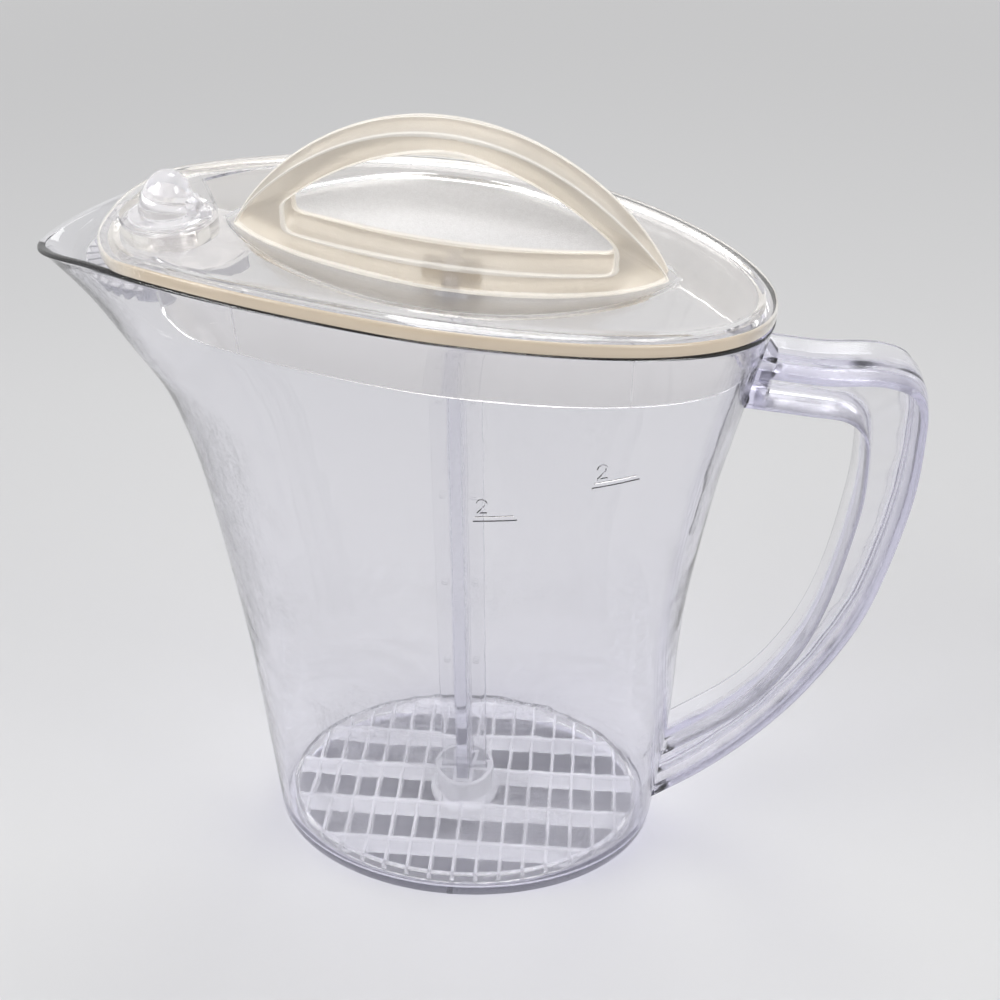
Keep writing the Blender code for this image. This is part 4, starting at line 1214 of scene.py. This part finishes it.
body_look = clear_plastic(
    "clear_violet", 0.02, 0.0003, lost=(0.80, 0.785, 0.945), dull="grip", haze=(0.09, 0.00003),
)  # fmt: skip
lid_look = clear_plastic(
    "clear_warm", 0.025, 0.0003, base=(0.985, 0.97, 0.945), deepest=7,
    dull="etched", haze=(0.36, 0.00007), frost=(0.77, 0.75, 0.725),
)  # fmt: skip
# The lid's edge: a painted glow, pale all round and tan where the mask tan is 1.
edge_look = clear_plastic(
    "amber_edge_painted_glow", 0.16, 0.0003, base=(0.9, 0.875, 0.83), clear=0.35, tint=(0.77, 0.63, 0.46),
)  # fmt: skip
rod_look = clear_plastic("clear_rod", 0.03, lost=(0.80, 0.80, 0.885), deepest=7)
plate_look = clear_plastic("clear_plate", 0.03, ripple=0.0001, deepest=5)
# Painted sparkle: the lattice and the hub are partly milky white, so that they look lit.
lattice_sparkle_look = clear_plastic(
    "bright_lattice_painted_sparkle", 0.1, ripple=0.0003, base=(0.96, 0.96, 0.97), clear=0.66,
)  # fmt: skip
knob_look = clear_plastic("hazy_knob", 0.06, base=(0.95, 0.94, 0.95), clear=0.84, deepest=9)
# Painted shade: the comb's teeth are painted grey, so that they stand out from the pale clear
# walls.
comb_shade_look = clear_plastic("hazy_comb_painted_shade", 0.08, ripple=0.0001, base=(0.60, 0.60, 0.65), clear=0.7)
print("clear plastics:", body_look.name, lid_look.name, rod_look.name, plate_look.name)
print("hazier ones:", edge_look.name, lattice_sparkle_look.name, knob_look.name, comb_shade_look.name)

# %% [markdown]
# ## Frosted handle
# The handle is a milky, warm plastic with an etched skin. It lets light through without showing
# what is behind it sharply, so it has some transmission, a high roughness and a fine grain. Slow
# noise makes the milk a little uneven. The thin lips along its edges catch the light, and that is
# painted: their faces have a second material, paler and milkier, as a painted highlight.

# %% Frosted plastic
def frosted_plastic(name, dark, pale, clear):
    """A milky plastic whose base colour runs from dark to pale with the slow waves."""
    made, tree, shader = principled(name, 1.45, clear, pale)
    tones = mixed(tree, between(tree, use(tree, waves), 0.35, 0.85), dark, pale)
    tree.links.new(tones, shader.inputs["Base Color"])
    rough = between(tree, use(tree, grain), 0.3, 1.0, 0.30, 0.52)
    tree.links.new(rough, shader.inputs["Roughness"])
    bumped(tree, shader, (use(tree, grain), 0.00008), (use(tree, waves), 0.0002))
    see_through(tree, shader, (0.7, 0.68, 0.64))
    return made


frosted_look = frosted_plastic("frosted_cream", (0.715, 0.655, 0.575), (0.84, 0.785, 0.705), 0.84)
# Painted highlight: the lips are paler and milkier than the rest of the handle.
lip_highlight_look = frosted_plastic("frosted_lip_painted_highlight", (0.95, 0.92, 0.87), (0.985, 0.96, 0.92), 0.45)
print("frosted plastics:", frosted_look.name, lip_highlight_look.name)

# %% [markdown]
# ## Every piece on its body
# Each piece gets its looks, rides on the body that moves it, and stands for one node of the packed
# model. The marked faces take the second look.

# %% Looks and bodies
for piece, rides, place, looks in (
    (body, "pitcher", "pitcher", [body_look]),
    (lid, "lid", "lid", [lid_look, edge_look]),
    (handle, "plunger", "plunger_handle", [frosted_look, lip_highlight_look]),
    (rod, "plunger", "plunger_rod", [rod_look]),
    (plate, "plunger", "mixing_plate", [plate_look, lattice_sparkle_look]),
    (knob, "dial", "pour_knob", [knob_look]),
    (strainer, "dial", "strainer", [knob_look, comb_shade_look]),
):
    done(piece, rides, place, looks)
    if piece in marked:
        piece.data.polygons.foreach_set("material_index", marked[piece].astype(np.int32))

# %% [markdown]
# ## Floor and light
# A pale floor and a white surround, with three large soft lamps above and beside the object. The
# surround is white for what is seen directly, mirrored or through the plastic, and dimmer as a
# light, so that glass shows white and colours keep their level. Far from the object the floor fades
# to it.


# %% Stage
SURROUND, AIM = (0.86, 0.86, 0.865), (0, 0, 0.12)
FADE_FROM, FADE_TO, SURROUND_LIGHT = 0.5, 2.6, 0.42


def seen_rays(tree):
    """1 for rays from the camera, from gloss or through glass, 0 for those that only light
    things."""
    rays = tree.nodes.new("ShaderNodeLightPath").outputs
    gloss = maths(tree, "MAXIMUM", rays["Is Glossy Ray"], rays["Is Transmission Ray"])
    return maths(tree, "MAXIMUM", rays["Is Camera Ray"], gloss)


def make_floor():
    """A pale plane that fades to the surround's tone between 0.5 m and 2.6 m from the object."""
    corners = np.array([[(-3, -3, 0), (3, -3, 0)], [(-3, 3, 0), (3, 3, 0)]], float)
    made = surface("floor", corners, around=False)
    look, tree, shader = principled("floor_pale", 1.5, 0.0, (0.72, 0.72, 0.725))
    shader.inputs["Roughness"].default_value = 0.7
    where = tree.nodes.new("ShaderNodeTexCoord").outputs["Object"]
    far = node(tree, "VectorMath", {0: where}, operation="LENGTH").outputs["Value"]
    fade = maths(tree, "MULTIPLY", between(tree, far, FADE_FROM, FADE_TO), seen_rays(tree))
    glow = node(tree, "Emission", {"Color": (*SURROUND, 1)})
    mix = node(tree, "MixShader", {0: fade, 1: shader.outputs[0], 2: glow.outputs[0]})
    tree.links.new(mix.outputs[0], tree.nodes["Material Output"].inputs["Surface"])
    made.data.materials.append(look)
    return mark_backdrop(made)


def make_world():
    """The surround's tone at full strength for seen rays, and at less than half as a light."""
    world = bpy.data.worlds.new("surround")
    bpy.context.scene.world = world
    world.use_nodes = True
    tree = world.node_tree
    tree.nodes.clear()
    lit, shown = (
        node(tree, "Background", {"Color": (*SURROUND, 1), "Strength": strength}).outputs[0]
        for strength in (SURROUND_LIGHT, 1.0)
    )
    mix = node(tree, "MixShader", {0: seen_rays(tree), 1: lit, 2: shown})
    tree.links.new(mix.outputs[0], tree.nodes.new("ShaderNodeOutputWorld").inputs["Surface"])


def soft_lamp(name, place, size, watts):
    """A square lamp whose -Z points from its place to the aim: a turn about X from straight down,
    then one about Z."""
    data = bpy.data.lights.new(name, "AREA")
    data.shape, data.size, data.energy = "SQUARE", size, watts
    made = bpy.data.objects.new(name, data)
    made.location = place
    direction = np.array(AIM, float) - np.array(place, float)
    x, y, z = direction / np.linalg.norm(direction)
    made.rotation_euler = (float(np.arccos(-z)), 0.0, float(np.arctan2(x, -y)) + pi)
    bpy.context.scene.collection.objects.link(made)


make_floor()
make_world()
soft_lamp("lamp_left", (-0.7, -0.4, 0.9), 0.5, 5.5)
soft_lamp("lamp_right", (0.8, -0.3, 0.7), 0.4, 3.2)
soft_lamp("lamp_back", (0.15, 0.5, 1.25), 0.5, 4.5)
bpy.context.scene.view_settings.view_transform = "Standard"
print("lights:", [light.name for light in bpy.data.lights])
